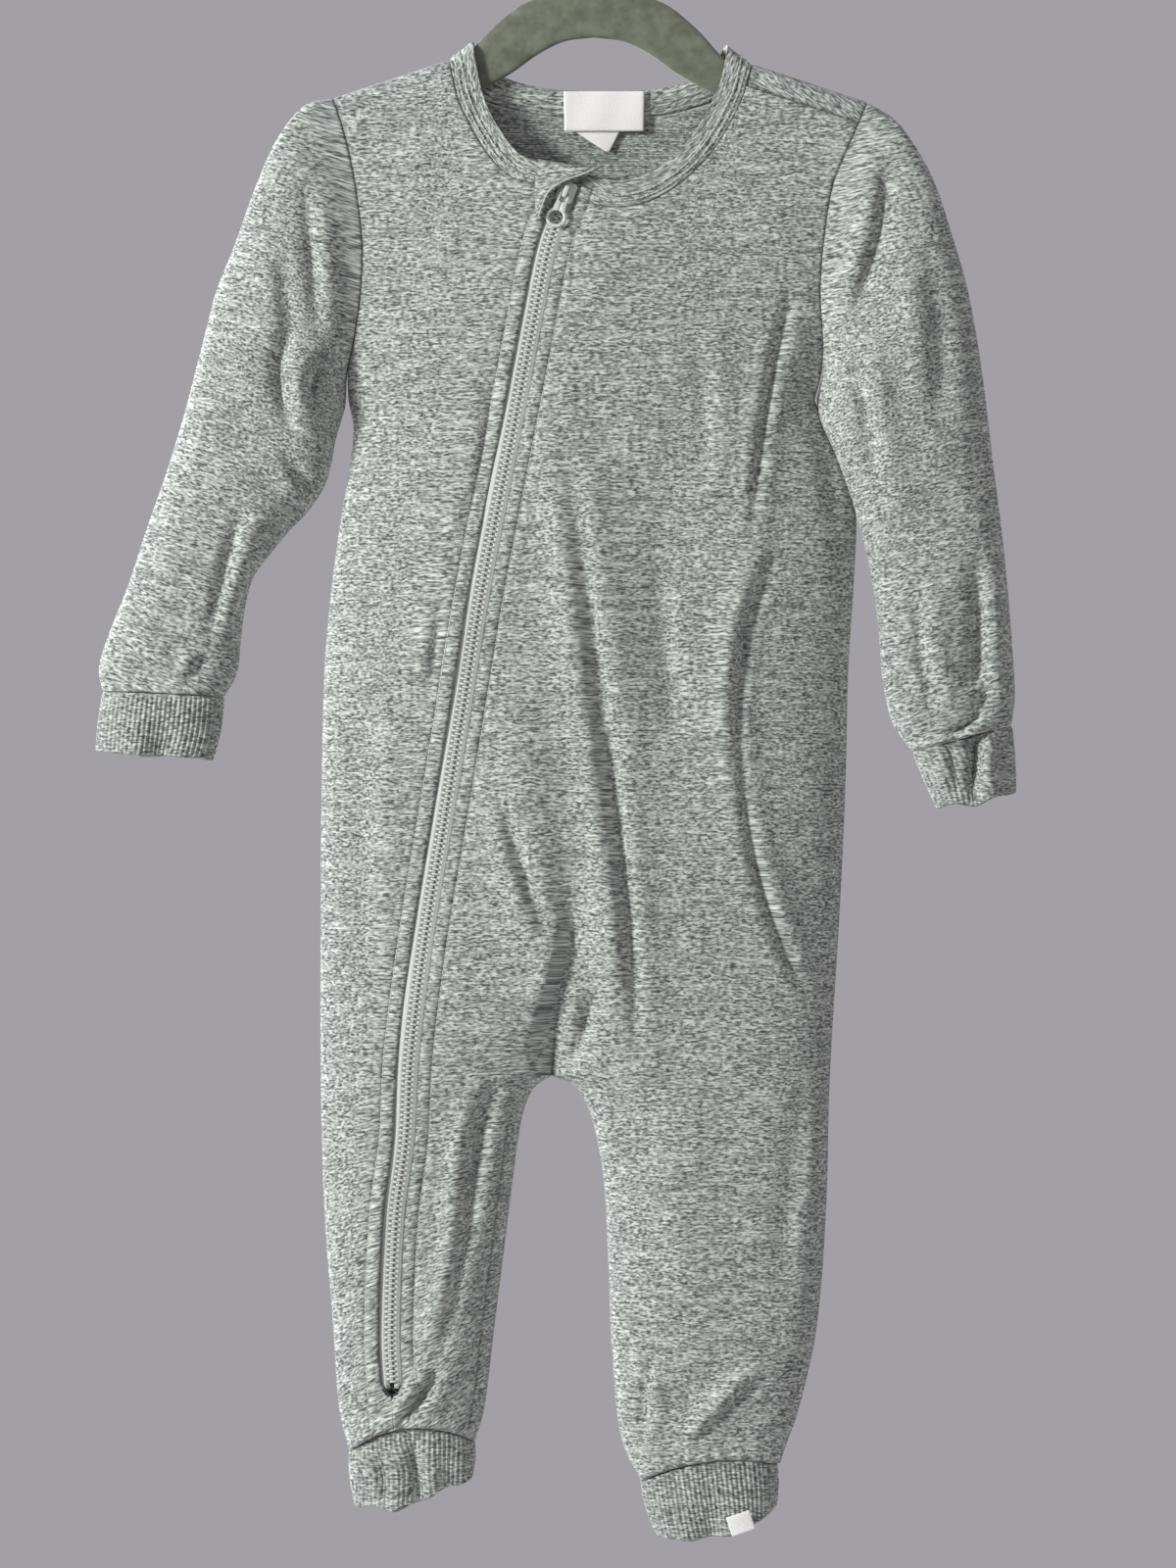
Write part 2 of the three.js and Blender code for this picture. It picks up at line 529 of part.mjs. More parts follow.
// Drop of the ankle seam at a share of the leg's width, counted from its outer edge
function ankleSeam(cuff, share) {
  const top = cuff[0];
  const hump = 4 * share * (1 - share) * top.sag;
  return mix(top.outDrop, top.inDrop, share) + hump - CURVED_GAP;
}

// One row of a panel as points on the front or back
function row(side, xs, drops) {
  const seam = side === 'front' ? -GAP / 2 : GAP / 2;
  return xs.map((x, n) => {
    const drop = Array.isArray(drops) ? drops[n] : drops;
    const y = depthAt(side, x, drop) * (side === 'front' ? -1 : 1);
    return new THREE.Vector3(x, Math.abs(y) < GAP / 2 ? seam : y, NECK_Z - drop);
  });
}

// A point of an upper patch, kept off the middle plane by half a gap at the ridge
function ridgePoint(place, side) {
  const point = onCloth(place.x, place.arc);
  if (Math.abs(point.y) < GAP / 2) point.y = side === 'front' ? -GAP / 2 : GAP / 2;
  return point;
}

// A panel's edge beside the zip, from the underarm up to its corner at the neck
function zipEdge(shares, corner, across) {
  return shares.map((share) => {
    const drop = mix(UNDERARM, ridge(corner.x) + fallOf(corner.arc), share);
    const atCorner = ease(clamp((share - ZIP_CORNER) / (1 - ZIP_CORNER), 0, 1));
    const x = mix(besideZip(drop, across).x, corner.x, atCorner);
    return { x, arc: arcOf(x, drop) };
  });
}

// Shares up from the underarm to the seam for given distances along the cloth from the top
function sharesUp(arcs) {
  const full = arcs[0];
  const top = arcs.at(-1);
  return arcs.map((arc) => (full - arc) / (full - top));
}

// Legs and hem of one panel side, from the crotch row down
function legRows(side, edges, shares, cuff, isLeft) {
  const straight = legDrops.map((drop) => {
    const [from, to] = edges(drop);
    return row(side, shares.map((share) => mix(from, to, share)), drop);
  });
  const outer = isLeft ? sideLeft : sideRight;
  const inner = isLeft ? inseam.left : inseam.right;
  const ends = shares.map((share) => {
    let drop = cuff[0].outDrop;
    for (let i = 0; i < SETTLE_STEPS; i += 1) {
      const [from, to] = edges(drop);
      const across = (mix(from, to, share) - outer(drop)) / (inner(drop) - outer(drop));
      drop = ankleSeam(cuff, clamp(across, 0, 1));
    }
    return drop;
  });
  const hem = hemShares.slice(1).map((part) => {
    const drops = ends.map((end) => mix(LEG_STRAIGHT, end, part));
    const xs = shares.map((share, n) => mix(...edges(drops[n]), share));
    return row(side, xs, drops);
  });
  return [...straight, ...hem];
}

// The narrow right front, from the side seam to the zip
function frontRight() {
  const shares = spaced(SHOULDER_COLUMNS + RING_MARKS.rightRidge, 'start').map((value, n, all) => (
    mix(value, n / (all.length - 1), ROW_EVENNESS)));
  const low = (drop) => sideLeft(drop);
  const high = (drop) => besideZip(drop, -zipOpening(drop)).x;
  const neck = neckSeam(RING_MARKS.rightRidge);
  const tip = { x: ARMHOLE[0].left, arc: GAP / 2 };
  const ridgeSeam = shoulderSeam({ x: neck.x, arc: GAP / 2 }, tip, SHOULDER_COLUMNS).reverse();
  const neckline = Array.from({ length: RING_MARKS.rightRidge }, (_, n) => (
    neckSeam(RING_MARKS.rightRidge - 1 - n)));
  const top = [...ridgeSeam, { x: neck.x, arc: GAP / 2 }, ...neckline];
  const bottom = shares.map((share) => {
    const x = mix(low(UNDERARM), high(UNDERARM), share);
    return { x, arc: arcOf(x, UNDERARM) };
  });
  const up = sharesUp(RIDGE_ROWS);
  const left = up.map((share) => armholePlace('left', mix(bottom[0].arc, tip.arc, share)));
  const right = zipEdge(up, top.at(-1), -ZIP_HALF_OPEN);
  const upper = coons(bottom, top, left, right, shares, up);
  const sheet = new Sheet();
  sheet.patch(upper.map((places) => places.map((place) => ridgePoint(place, 'front'))).reverse());
  const trunkRow = (drop) => row('front', shares.map((share) => mix(low(drop), high(drop), share)), drop);
  sheet.patch(trunkDrops.map(trunkRow));
  sheet.patch(legRows('front', (drop) => [low(drop), high(drop)], shares, ANKLE_RIGHT, true));
  return sheet.wall(WALL);
}

// Place on an armhole at an arc from the ridge
function armholePlace(side, arc) {
  let x = armhole[side](UNDERARM);
  for (let i = 0; i < SETTLE_STEPS; i += 1) x = armhole[side](ridge(x) + fallOf(arc));
  return { x, arc };
}

// The wide left front, from the zip to the side seam, forked over both legs
function frontLeft() {
  const neckSteps = RING.length - 1 - RING_MARKS.leftSeam;
  const inner = spaced(FRONT_INNER_COLUMNS, 'end');
  const outerLeg = spaced(neckSteps + LEFT_SHOULDER_COLUMNS - FRONT_INNER_COLUMNS, 'both');
  const crotchShare = (CROTCH_X - zipX(CROTCH)) / (sideRight(CROTCH) - zipX(CROTCH));
  const shares = [...inner.map((value) => value * crotchShare),
    ...outerLeg.slice(1).map((value) => mix(crotchShare, 1, value))];
  const low = (drop) => besideZip(drop, zipOpening(drop)).x;
  const at = (drop, share) => (share <= crotchShare
    ? mix(low(drop), middleX(drop), share / crotchShare)
    : mix(middleX(drop), sideRight(drop), (share - crotchShare) / (1 - crotchShare)));
  const seam = arcOf(NECK_HALF, ridge(NECK_HALF) + SHOULDER_FORWARD) + GAP / 2;
  const neckEnd = { ...neckSeam(RING_MARKS.leftSeam), arc: seam };
  const neckline = Array.from({ length: neckSteps }, (_, n) => neckSeam(RING.length - 1 - n));
  const tip = armholePlace('right', seam);
  const top = [...neckline, neckEnd, ...shoulderSeam(neckEnd, tip, LEFT_SHOULDER_COLUMNS)];
  const bottom = shares.map((share) => {
    const x = at(UNDERARM, share);
    return { x, arc: arcOf(x, UNDERARM) };
  });
  const up = sharesUp(FORWARD_SEAM_ROWS);
  const right = up.map((share) => armholePlace('right', mix(bottom.at(-1).arc, seam, share)));
  const left = zipEdge(up, top[0], ZIP_HALF_OPEN);
  const upper = coons(bottom, top, left, right, shares, up);
  const sheet = new Sheet();
  sheet.patch(upper.map((places) => places.map((place) => ridgePoint(place, 'front'))).reverse());
  sheet.patch(trunkDrops.map((drop) => row('front', shares.map((share) => at(drop, share)), drop)));
  sheet.patch(legRows('front', (drop) => [low(drop), inseam.left(drop)], inner, ANKLE_RIGHT, true));
  sheet.patch(legRows('front', (drop) => [inseam.right(drop), sideRight(drop)], outerLeg, ANKLE_LEFT, false));
  return sheet.wall(WALL);
}

// The back, from side seam to side seam, lapping over the left shoulder to the front
// Its grids run left to right as seen from the front, so they are turned over to face out
function back() {
  const neckSteps = RING_MARKS.leftRidge - RING_MARKS.rightRidge;
  const rightLeg = spaced(BACK_RIGHT_COLUMNS, 'both');
  const leftLeg = spaced(2 * SHOULDER_COLUMNS + neckSteps - BACK_RIGHT_COLUMNS, 'both');
  const crotchShare = (CROTCH_X - sideLeft(CROTCH)) / (sideRight(CROTCH) - sideLeft(CROTCH));
  const shares = [...rightLeg.map((value) => value * crotchShare),
    ...leftLeg.slice(1).map((value) => mix(crotchShare, 1, value))];
  const middle = (drop) => mix(mix(sideLeft(drop), sideRight(drop), crotchShare), middleX(drop),
    ease(clamp((drop - UNDERARM) / (CROTCH - UNDERARM), 0, 1)));
  const at = (drop, share) => (share <= crotchShare
    ? mix(sideLeft(drop), middle(drop), share / crotchShare)
    : mix(middle(drop), sideRight(drop), (share - crotchShare) / (1 - crotchShare)));
  const onRidge = -GAP / 2;
  const rightNeck = { x: neckSeam(RING_MARKS.rightRidge).x, arc: onRidge };
  const rightTip = { x: armholePlace('left', 0).x, arc: onRidge };
  const leftNeck = { x: neckSeam(RING_MARKS.leftRidge).x, arc: onRidge };
  const leftTip = { x: armholePlace('right', 0).x, arc: onRidge };
  const neckline = Array.from({ length: neckSteps - 1 }, (_, n) => neckSeam(RING_MARKS.rightRidge + 1 + n));
  const top = [...shoulderSeam(rightNeck, rightTip, SHOULDER_COLUMNS).reverse(), rightNeck,
    ...neckline, leftNeck, ...shoulderSeam(leftNeck, leftTip, SHOULDER_COLUMNS)];
  const bottom = shares.map((share) => {
    const x = at(UNDERARM, share);
    return { x, arc: -arcOf(x, UNDERARM) };
  });
  const up = sharesUp(RIDGE_ROWS);
  const left = up.map((share) => armholePlace('left', mix(bottom[0].arc, onRidge, share)));
  const right = up.map((share) => armholePlace('right', mix(bottom.at(-1).arc, onRidge, share)));
  const upper = coons(bottom, top, left, right, shares, up);
  const seam = arcOf(NECK_HALF, ridge(NECK_HALF) + SHOULDER_FORWARD) - GAP / 2;
  const lap = [...Array.from({ length: ROLL_STEPS }, (_, n) => QUARTER * (n + 1) / ROLL_STEPS), seam];
  const overShoulder = lap.map((arc) => {
    const neck = { x: mix(leftNeck.x, neckSeam(RING_MARKS.leftSeam).x, arc / seam), arc };
    return [neck, ...shoulderSeam(neck, armholePlace('right', arc), SHOULDER_COLUMNS)];
  });
  const sheet = new Sheet();
  const turned = (rows) => rows.map((points) => [...points].reverse());
  sheet.patch(turned(upper.map((places) => places.map((place) => ridgePoint(place, 'back'))).reverse()));
  const ridgeRow = upper.at(-1).slice(-SHOULDER_COLUMNS - 1).map((place) => ridgePoint(place, 'back'));
  const lapRows = overShoulder.map((places) => places.map((place) => onCloth(place.x, place.arc)));
  sheet.patch(turned([...lapRows.reverse(), ridgeRow]));
  sheet.patch(turned(trunkDrops.map((drop) => row('back', shares.map((share) => at(drop, share)), drop))));
  const rightEdges = (drop) => [sideLeft(drop), inseam.left(drop)];
  const leftEdges = (drop) => [inseam.right(drop), sideRight(drop)];
  sheet.patch(turned(legRows('back', rightEdges, rightLeg, ANKLE_RIGHT, true)));
  sheet.patch(turned(legRows('back', leftEdges, leftLeg, ANKLE_LEFT, false)));
  return sheet.wall(WALL);
}

// Rows of points, each found from its shares down and across
function gridOf(rows, columns, find) {
  return Array.from({ length: rows + 1 }, (_, i) => (
    Array.from({ length: columns + 1 }, (_unused, j) => find(i / rows, j / columns))));
}

// A round-edged flat tube through a table of sections, with its first row fitted to an armhole if given
function tube(table, rows, thickness, armSide) {
  const last = table.length - 1;
  const keyed = table.map((entry, n) => ({ sag: 0, ...entry, place: n / last }));
  const read = (column) => curve(keyed, 'place', column);
  const columns = ['outX', 'outDrop', 'inX', 'inDrop', 'depth', 'ahead', 'sag'];
  const [outX, outDrop, inX, inDrop, depth, ahead, sag] = columns.map(read);
  const plain = (t, angle) => {
    const share = (1 - Math.cos(angle)) / 2;
    const hump = 4 * share * (1 - share) * sag(t);
    const thick = depth(t) * rounding(Math.cos(angle), 0.5) * -Math.sign(Math.sin(angle) || 1);
    return new THREE.Vector3(
      mix(outX(t), inX(t), share),
      thick - ahead(t),
      NECK_Z - mix(outDrop(t), inDrop(t), share) - hump,
    );
  };
  const fitted = (angle) => {
    const share = (1 - Math.cos(angle)) / 2;
    const start = keyed[0];
    const drop = mix(start.outDrop, start.inDrop, share);
    const side = Math.sin(angle) >= 0 ? 'front' : 'back';
    const edge = armhole[armSide](drop);
    const outside = armSide === 'left' ? -1 : 1;
    const underarm = Math.abs(start.inX - armhole[armSide](start.inDrop));
    const x = edge + outside * mix(CURVED_GAP, underarm, share ** UNDERARM_POWER);
    const y = depthAt(side, edge, Math.max(drop, ridge(edge))) * (side === 'front' ? -1 : 1);
    return new THREE.Vector3(x, share > 0.999 || share < 0.001 ? 0 : y, NECK_Z - drop);
  };
  const grid = gridOf(rows, LOOP, (t, turn) => {
    const angle = 2 * Math.PI * (turn % 1);
    const point = plain(t, angle);
    if (armSide) {
      const bow = clamp(1 - t / BOW_FADE, 0, 1) ** 2;
      point.addScaledVector(fitted(angle).sub(plain(0, angle)), bow);
    }
    return point;
  });
  const leftToRight = table[0].outX < table[0].inX;
  const sheet = new Sheet();
  sheet.patch(leftToRight ? grid : grid.map((points) => [...points].reverse()));
  return sheet.wall(thickness, false);
}

// The folded strip round the neck, standing up a little on the shoulders
const BAND_STAND = 5;
const BAND_REACH = 14;

function neckband() {
  const rows = Array.from({ length: BAND_COLUMNS + 1 }, (_, n) => RING.map((entry) => {
    const share = 1 - n / BAND_COLUMNS;
    const arc = mix(entry.seamArc, entry.freeArc, share);
    const lift = BAND_STAND * share * Math.exp(-((arc / BAND_REACH) ** 2));
    return onCloth(mix(entry.seamX, entry.freeX, share), arc, lift);
  }));
  return new Sheet().patch(rows).wall(BAND_WALL, false);
}

// A strip along the zip, from one place across it to another
function zipStrip({ from, to, top, bottom, rows, columns, away, thick }) {
  const grid = gridOf(rows, columns, (down, across) => {
    const place = besideZip(mix(top, bottom, down), mix(from, to, across));
    return offCloth('front', place.x, place.drop, away);
  });
  return new Sheet().patch(grid).wall(thick, false);
}

// Zip tapes and chain
const TAPE_INNER = 1;
const TAPE_OUTER = 11.5;
const TAPE_AWAY = -(WALL / 2 + CURVED_GAP + TAPE_WALL / 2);
const CHAIN_WIDTH = 4.8;
const CHAIN_THICK = 2;
const CHAIN_AWAY = TAPE_AWAY + TAPE_WALL / 2 + GAP + CHAIN_THICK / 2;
const SLIDER_DROP = 72;
const SLIDER_LENGTH = 10;
const TAPE = { top: ZIP_TOP - 7, bottom: ZIP_END - 1, rows: 30, columns: 2, away: TAPE_AWAY, thick: TAPE_WALL };
const CHAIN = {
  top: SLIDER_DROP - 1.5, bottom: ZIP_END - 4, rows: 36, columns: 1, away: CHAIN_AWAY, thick: CHAIN_THICK,
};
const tape = (from, to) => zipStrip({ from, to, ...TAPE });
const chain = () => zipStrip({ from: -CHAIN_WIDTH / 2, to: CHAIN_WIDTH / 2, ...CHAIN });

// The scrap folded over the top of the zip: its left edge and its corded edge by row
const GARAGE = [
  { leftX: -25.5, leftDrop: 56.6, rightX: 2.2, rightDrop: 62.0 },
  { leftX: -26.6, leftDrop: 61.5, rightX: -4.4, rightDrop: 65.0 },
  { leftX: -27.1, leftDrop: 66.6, rightX: -11.8, rightDrop: 67.6 },
  { leftX: -27.4, leftDrop: 73.0, rightX: -19.0, rightDrop: 72.4 },
  { leftX: -26.9, leftDrop: 79.5, rightX: -22.4, rightDrop: 79.2 },
  { leftX: -26.1, leftDrop: 85.6, rightX: -24.6, rightDrop: 85.8 },
];
const GARAGE_WALL = 1.6;
const GARAGE_LIFT = 2.6;
const GARAGE_OPEN = 4.9;
const GARAGE_COLUMNS = 5;

function zipGarage() {
  const grid = GARAGE.map((edge) => Array.from({ length: GARAGE_COLUMNS + 1 }, (_, n) => {
    const share = n / GARAGE_COLUMNS;
    const away = mix(GARAGE_LIFT, GARAGE_OPEN, ease(share));
    const drop = mix(edge.leftDrop, edge.rightDrop, share);
    return offCloth('front', mix(edge.leftX, edge.rightX, share), drop, away);
  }));
  return new Sheet().patch(grid).wall(GARAGE_WALL, false);
}

// Slider and pull tab, in their own frame: X across the zip, Y down it, Z out
const SLIDER_WIDTH = 8.4;
const PLATE = 1.2;
const CROWN_WIDTH = 2.2;
const CROWN_HALF = 3;
const CROWN_HIGH = 3.1;
const CROWN_INSIDE = { half: 1.3, high: 2.35 };
const PIVOT_HIGH = 1.2;
const POST = { wide: 1.4, deep: 1.6, inset: 0.9 };
const TAB = {
  thick: 1.1, top: 0.8, ring: 4.8, hole: 3.3, length: 13.2, neck: 2.6, slotHalf: 1.5, slotEnd: 5.4,
  shoulder: 2, waist: 0.62, opening: 0.72, curveSegments: 16,
};
const PLATE_AWAY = CHAIN_AWAY + CHAIN_THICK / 2 + GAP;

// The frame of the slider on the cloth
function sliderFrame() {
  const centre = besideZip(SLIDER_DROP, 0);
  const below = besideZip(SLIDER_DROP + SLIDER_LENGTH, 0);
  const base = offCloth('front', centre.x, centre.drop, 0);
  const lower = offCloth('front', below.x, below.drop, 0);
  const out = offCloth('front', centre.x, centre.drop, 1).sub(base);
  const down = lower.sub(base).normalize();
  const across = new THREE.Vector3().crossVectors(down, out).normalize();
  const normal = new THREE.Vector3().crossVectors(across, down).normalize();
  const frame = new THREE.Matrix4().makeBasis(across, down, normal);
  frame.setPosition(base.addScaledVector(normal, PLATE_AWAY + PLATE));
  return frame;
}

const wasm = await Module();
wasm.setup();

// Closed geometry to and from a solid that can be joined
function toSolid(geometry) {
  const plain = geometry.clone();
  plain.deleteAttribute('normal');
  plain.deleteAttribute('uv');
  const merged = mergeVertices(plain, 1e-4);
  return new wasm.Manifold(new wasm.Mesh({
    numProp: 3,
    vertProperties: new Float32Array(merged.attributes.position.array),
    triVerts: new Uint32Array(merged.index.array),
  }));
}

function toGeometry(solid) {
  const mesh = solid.getMesh();
  const geometry = new THREE.BufferGeometry();
  geometry.setAttribute('position', new THREE.Float32BufferAttribute(mesh.vertProperties, 3));
  geometry.setIndex(Array.from(mesh.triVerts));
  return geometry;
}

function zipSlider() {
  const plate = (z) => new THREE.BoxGeometry(SLIDER_WIDTH, SLIDER_LENGTH, PLATE).translate(0, 0, z);
  const backZ = -PLATE - CHAIN_THICK - TAPE_WALL - 4 * GAP - PLATE / 2;
  const post = new THREE.BoxGeometry(POST.wide, POST.deep, PLATE - backZ);
  post.translate(0, POST.inset - SLIDER_LENGTH / 2, backZ / 2);
  const side = new THREE.Shape();
  side.moveTo(-CROWN_HALF, -PLATE / 2);
  side.lineTo(-CROWN_HALF, CROWN_HIGH - 1);
  side.lineTo(-CROWN_HALF + 1, CROWN_HIGH);
  side.lineTo(CROWN_HALF - 1, CROWN_HIGH);
  side.lineTo(CROWN_HALF, CROWN_HIGH - 1);
  side.lineTo(CROWN_HALF, -PLATE / 2);
  side.lineTo(CROWN_INSIDE.half, -PLATE / 2);
  side.lineTo(CROWN_INSIDE.half, CROWN_INSIDE.high);
  side.lineTo(-CROWN_INSIDE.half, CROWN_INSIDE.high);
  side.lineTo(-CROWN_INSIDE.half, -PLATE / 2);
  const crown = new THREE.ExtrudeGeometry(side, { depth: CROWN_WIDTH, bevelEnabled: false });
  crown.translate(0, 0, -CROWN_WIDTH / 2);
  crown.applyMatrix4(new THREE.Matrix4().makeBasis(
    new THREE.Vector3(0, 1, 0), new THREE.Vector3(0, 0, 1), new THREE.Vector3(1, 0, 0)));
  const solid = [plate(-PLATE / 2), plate(backZ), post, crown].map(toSolid)
    .reduce((sum, piece) => sum.add(piece));
  return toGeometry(solid).applyMatrix4(sliderFrame());
}

function pullTab() {
  const shape = new THREE.Shape();
  const start = Math.asin(TAB.opening);
  const waist = TAB.ring * TAB.waist;
  const shoulder = TAB.slotEnd + TAB.shoulder;
  shape.moveTo(-TAB.neck, -TAB.top);
  shape.lineTo(TAB.neck, -TAB.top);
  shape.lineTo(TAB.neck, TAB.slotEnd);
  shape.lineTo(waist, shoulder);
  shape.absarc(0, TAB.length, TAB.ring, -start, Math.PI + start, false);
  shape.lineTo(-waist, shoulder);
  shape.lineTo(-TAB.neck, TAB.slotEnd);
  const slot = new THREE.Path();
  slot.moveTo(-TAB.slotHalf, TAB.top);
  slot.lineTo(-TAB.slotHalf, TAB.slotEnd);
  slot.lineTo(TAB.slotHalf, TAB.slotEnd);
  slot.lineTo(TAB.slotHalf, TAB.top);
  const hole = new THREE.Path();
  hole.absarc(0, TAB.length, TAB.hole, 0, 2 * Math.PI, true);
  shape.holes.push(slot, hole);
  const { thick: depth, curveSegments } = TAB;
  const geometry = new THREE.ExtrudeGeometry(shape, { depth, bevelEnabled: false, curveSegments });
  geometry.translate(0, 0, PIVOT_HIGH - TAB.thick / 2);
  return geometry.applyMatrix4(sliderFrame());
}

// Labels inside the back of the neck: each runs from its top edge down to its lower edge
const LABEL_WALL = 1;
const LABEL_ROWS = 3;
const LABEL_COLUMNS = 4;
const CARE_AWAY = -(BAND_WALL / 2 + GAP + LABEL_WALL / 2);
const NECK_AWAY = CARE_AWAY - LABEL_WALL - GAP;
const NECK_LABEL = { top: 22.6, bottom: 41, topLeft: -14.1, topRight: 23.7, lowLeft: -13.8, lowRight: 23.4 };
const CARE_LABEL = { top: 33, bottom: 51, topLeft: -7.3, topRight: 11.8, lowLeft: 5.2, lowRight: 7.6 };

function label(shape, away) {
  const grid = gridOf(LABEL_ROWS, LABEL_COLUMNS, (down, across) => {
    const left = mix(shape.topLeft, shape.lowLeft, down);
    const right = mix(shape.topRight, shape.lowRight, down);
    return offCloth('back', mix(right, left, across), mix(shape.top, shape.bottom, down), away);
  });
  return new Sheet().patch(grid).wall(LABEL_WALL, false);
}

// Small tag on the left ankle cuff, flat on the rib
const TAG = { x: 68, drop: 688, width: 11.4, height: 9.2, thick: 1, turn: 0.33, clear: 0.8 };

function ankleTag() {
  const geometry = new THREE.BoxGeometry(TAG.width, TAG.thick, TAG.height);
  const depth = tubeDepth(ANKLE_LEFT, TAG.x, TAG.drop) + RIB_WALL / 2 + TAG.clear + TAG.thick / 2;
  geometry.rotateY(-TAG.turn);
  return geometry.translate(TAG.x, -depth, NECK_Z - TAG.drop);
}

// Half thickness of a cuff at a place on its front
function tubeDepth(cuff, x, drop) {
  const [top, middle, hem] = cuff;
  const part = clamp((drop - middle.outDrop) / (hem.outDrop - middle.outDrop), 0, 1);
  const out = mix(middle.outX, hem.outX, part);
  const inside = mix(middle.inX, hem.inX, part);
  const s = (2 * x - out - inside) / (inside - out);
  return mix(middle.depth, hem.depth, part) * rounding(s, 0.5) + top.ahead;
}

// Hanger: a flocked flat body with a neck arch, in the plane of the garment
const HANGER_THICK = 5;
const HANGER_HIGH = 19;
const HANGER_BEVEL = 1.2;
const HANGER_CLEAR = WALL / 2 + GAP + 0.4;
const HANGER_TOP = [
  { x: 0, drop: -23.5 },
  { x: 20, drop: -22 },
  { x: 34, drop: -17 },
  { x: 45, drop: -8.5 },
  { x: 52, drop: -1.6 },
  { x: 57, drop: 4.2 },
  { x: 62, drop: 9 },
  { x: 68, drop: 12 },
];
const HANGER_ARM = { start: 76, end: 116, underEnd: 66, topSteps: 4, underSteps: 5 };
const HANGER_TIP = [
  { x: 123, drop: 31.5 },
  { x: 129, drop: 35.2 },
  { x: 133, drop: 40 },
  { x: 134, drop: 45 },
  { x: 132, drop: 50 },
  { x: 126, drop: 51.5 },
];
const HANGER_UNDER = [
  { x: 52, drop: 22.5 },
  { x: 38, drop: 14.5 },
  { x: 26, drop: 6 },
  { x: 14, drop: 0 },
  { x: 0, drop: -2 },
];

function hangerOutline() {
  const arm = (from, to, count, below) => Array.from({ length: count + 1 }, (_, n) => {
    const x = mix(from, to, n / count);
    return { x, drop: ridge(x) + HANGER_CLEAR + below };
  });
  const { start, end, underEnd, topSteps, underSteps } = HANGER_ARM;
  const half = [...HANGER_TOP, ...arm(start, end, topSteps, 0), ...HANGER_TIP,
    ...arm(end, underEnd, underSteps, HANGER_HIGH), ...HANGER_UNDER];
  const other = half.slice(1, -1).reverse().map((point) => ({ x: -point.x, drop: point.drop }));
  return [...half, ...other];
}

function hanger() {
  const inset = HANGER_BEVEL;
  const shape = new THREE.Shape(hangerOutline().map((point) => new THREE.Vector2(point.x, -point.drop)));
  const geometry = new THREE.ExtrudeGeometry(shape, {
    depth: HANGER_THICK - 2 * inset,
    bevelEnabled: true,
    bevelThickness: inset,
    bevelSize: inset,
    bevelOffset: -inset,
    bevelSegments: 1,
  });
  geometry.rotateX(Math.PI / 2);
  return geometry.translate(0, HANGER_THICK / 2 - inset, NECK_Z);
}

// Hook: a bent wire whose inside top is the origin
const WIRE = 3.6;
const WIRE_STEPS = 26;
const HOOK_INSIDE = 18;
const HOOK_TURN = { from: -50, to: 205, step: 15 };
const HOOK_STEM = [{ x: 0, up: 0.1 }, { x: 0, up: 8 }, { x: 1.5, up: 17 }];

function hangerHook() {
  const radius = HOOK_INSIDE + WIRE / 2;
  const foot = NECK_Z - HANGER_TOP[0].drop;
  const points = HOOK_STEM.map(({ x, up }) => new THREE.Vector3(x, 0, foot + up));
  for (let angle = HOOK_TURN.from; angle <= HOOK_TURN.to; angle += HOOK_TURN.step) {
    const turn = angle * Math.PI / 180;
    points.push(new THREE.Vector3(radius * Math.cos(turn), 0, -HOOK_INSIDE + radius * Math.sin(turn)));
  }
  const route = new THREE.CatmullRomCurve3(points);
  const section = new THREE.Shape();
  section.absarc(0, 0, WIRE / 2, 0, 2 * Math.PI, false);
  return new THREE.ExtrudeGeometry(section, { steps: WIRE_STEPS, extrudePath: route, curveSegments: 4 });
}

// Finishes
const jersey = { color: 0x969b96, roughness: 0.95, metalness: 0 };
const rib = { color: 0x8b908a, roughness: 0.95, metalness: 0 };
const tapeCloth = { color: 0xa6a49c, roughness: 0.9, metalness: 0 };
const chainPlastic = { color: 0x7f827d, roughness: 0.5, metalness: 0 };
const tabMetal = { color: 0x9ca09a, roughness: 0.35, metalness: 0.6 };
const labelCloth = { color: 0xf1efec, roughness: 0.8, metalness: 0 };
const flock = { color: 0x646858, roughness: 1, metalness: 0 };
const hookWire = { color: 0xb8b9ba, roughness: 0.25, metalness: 1 };

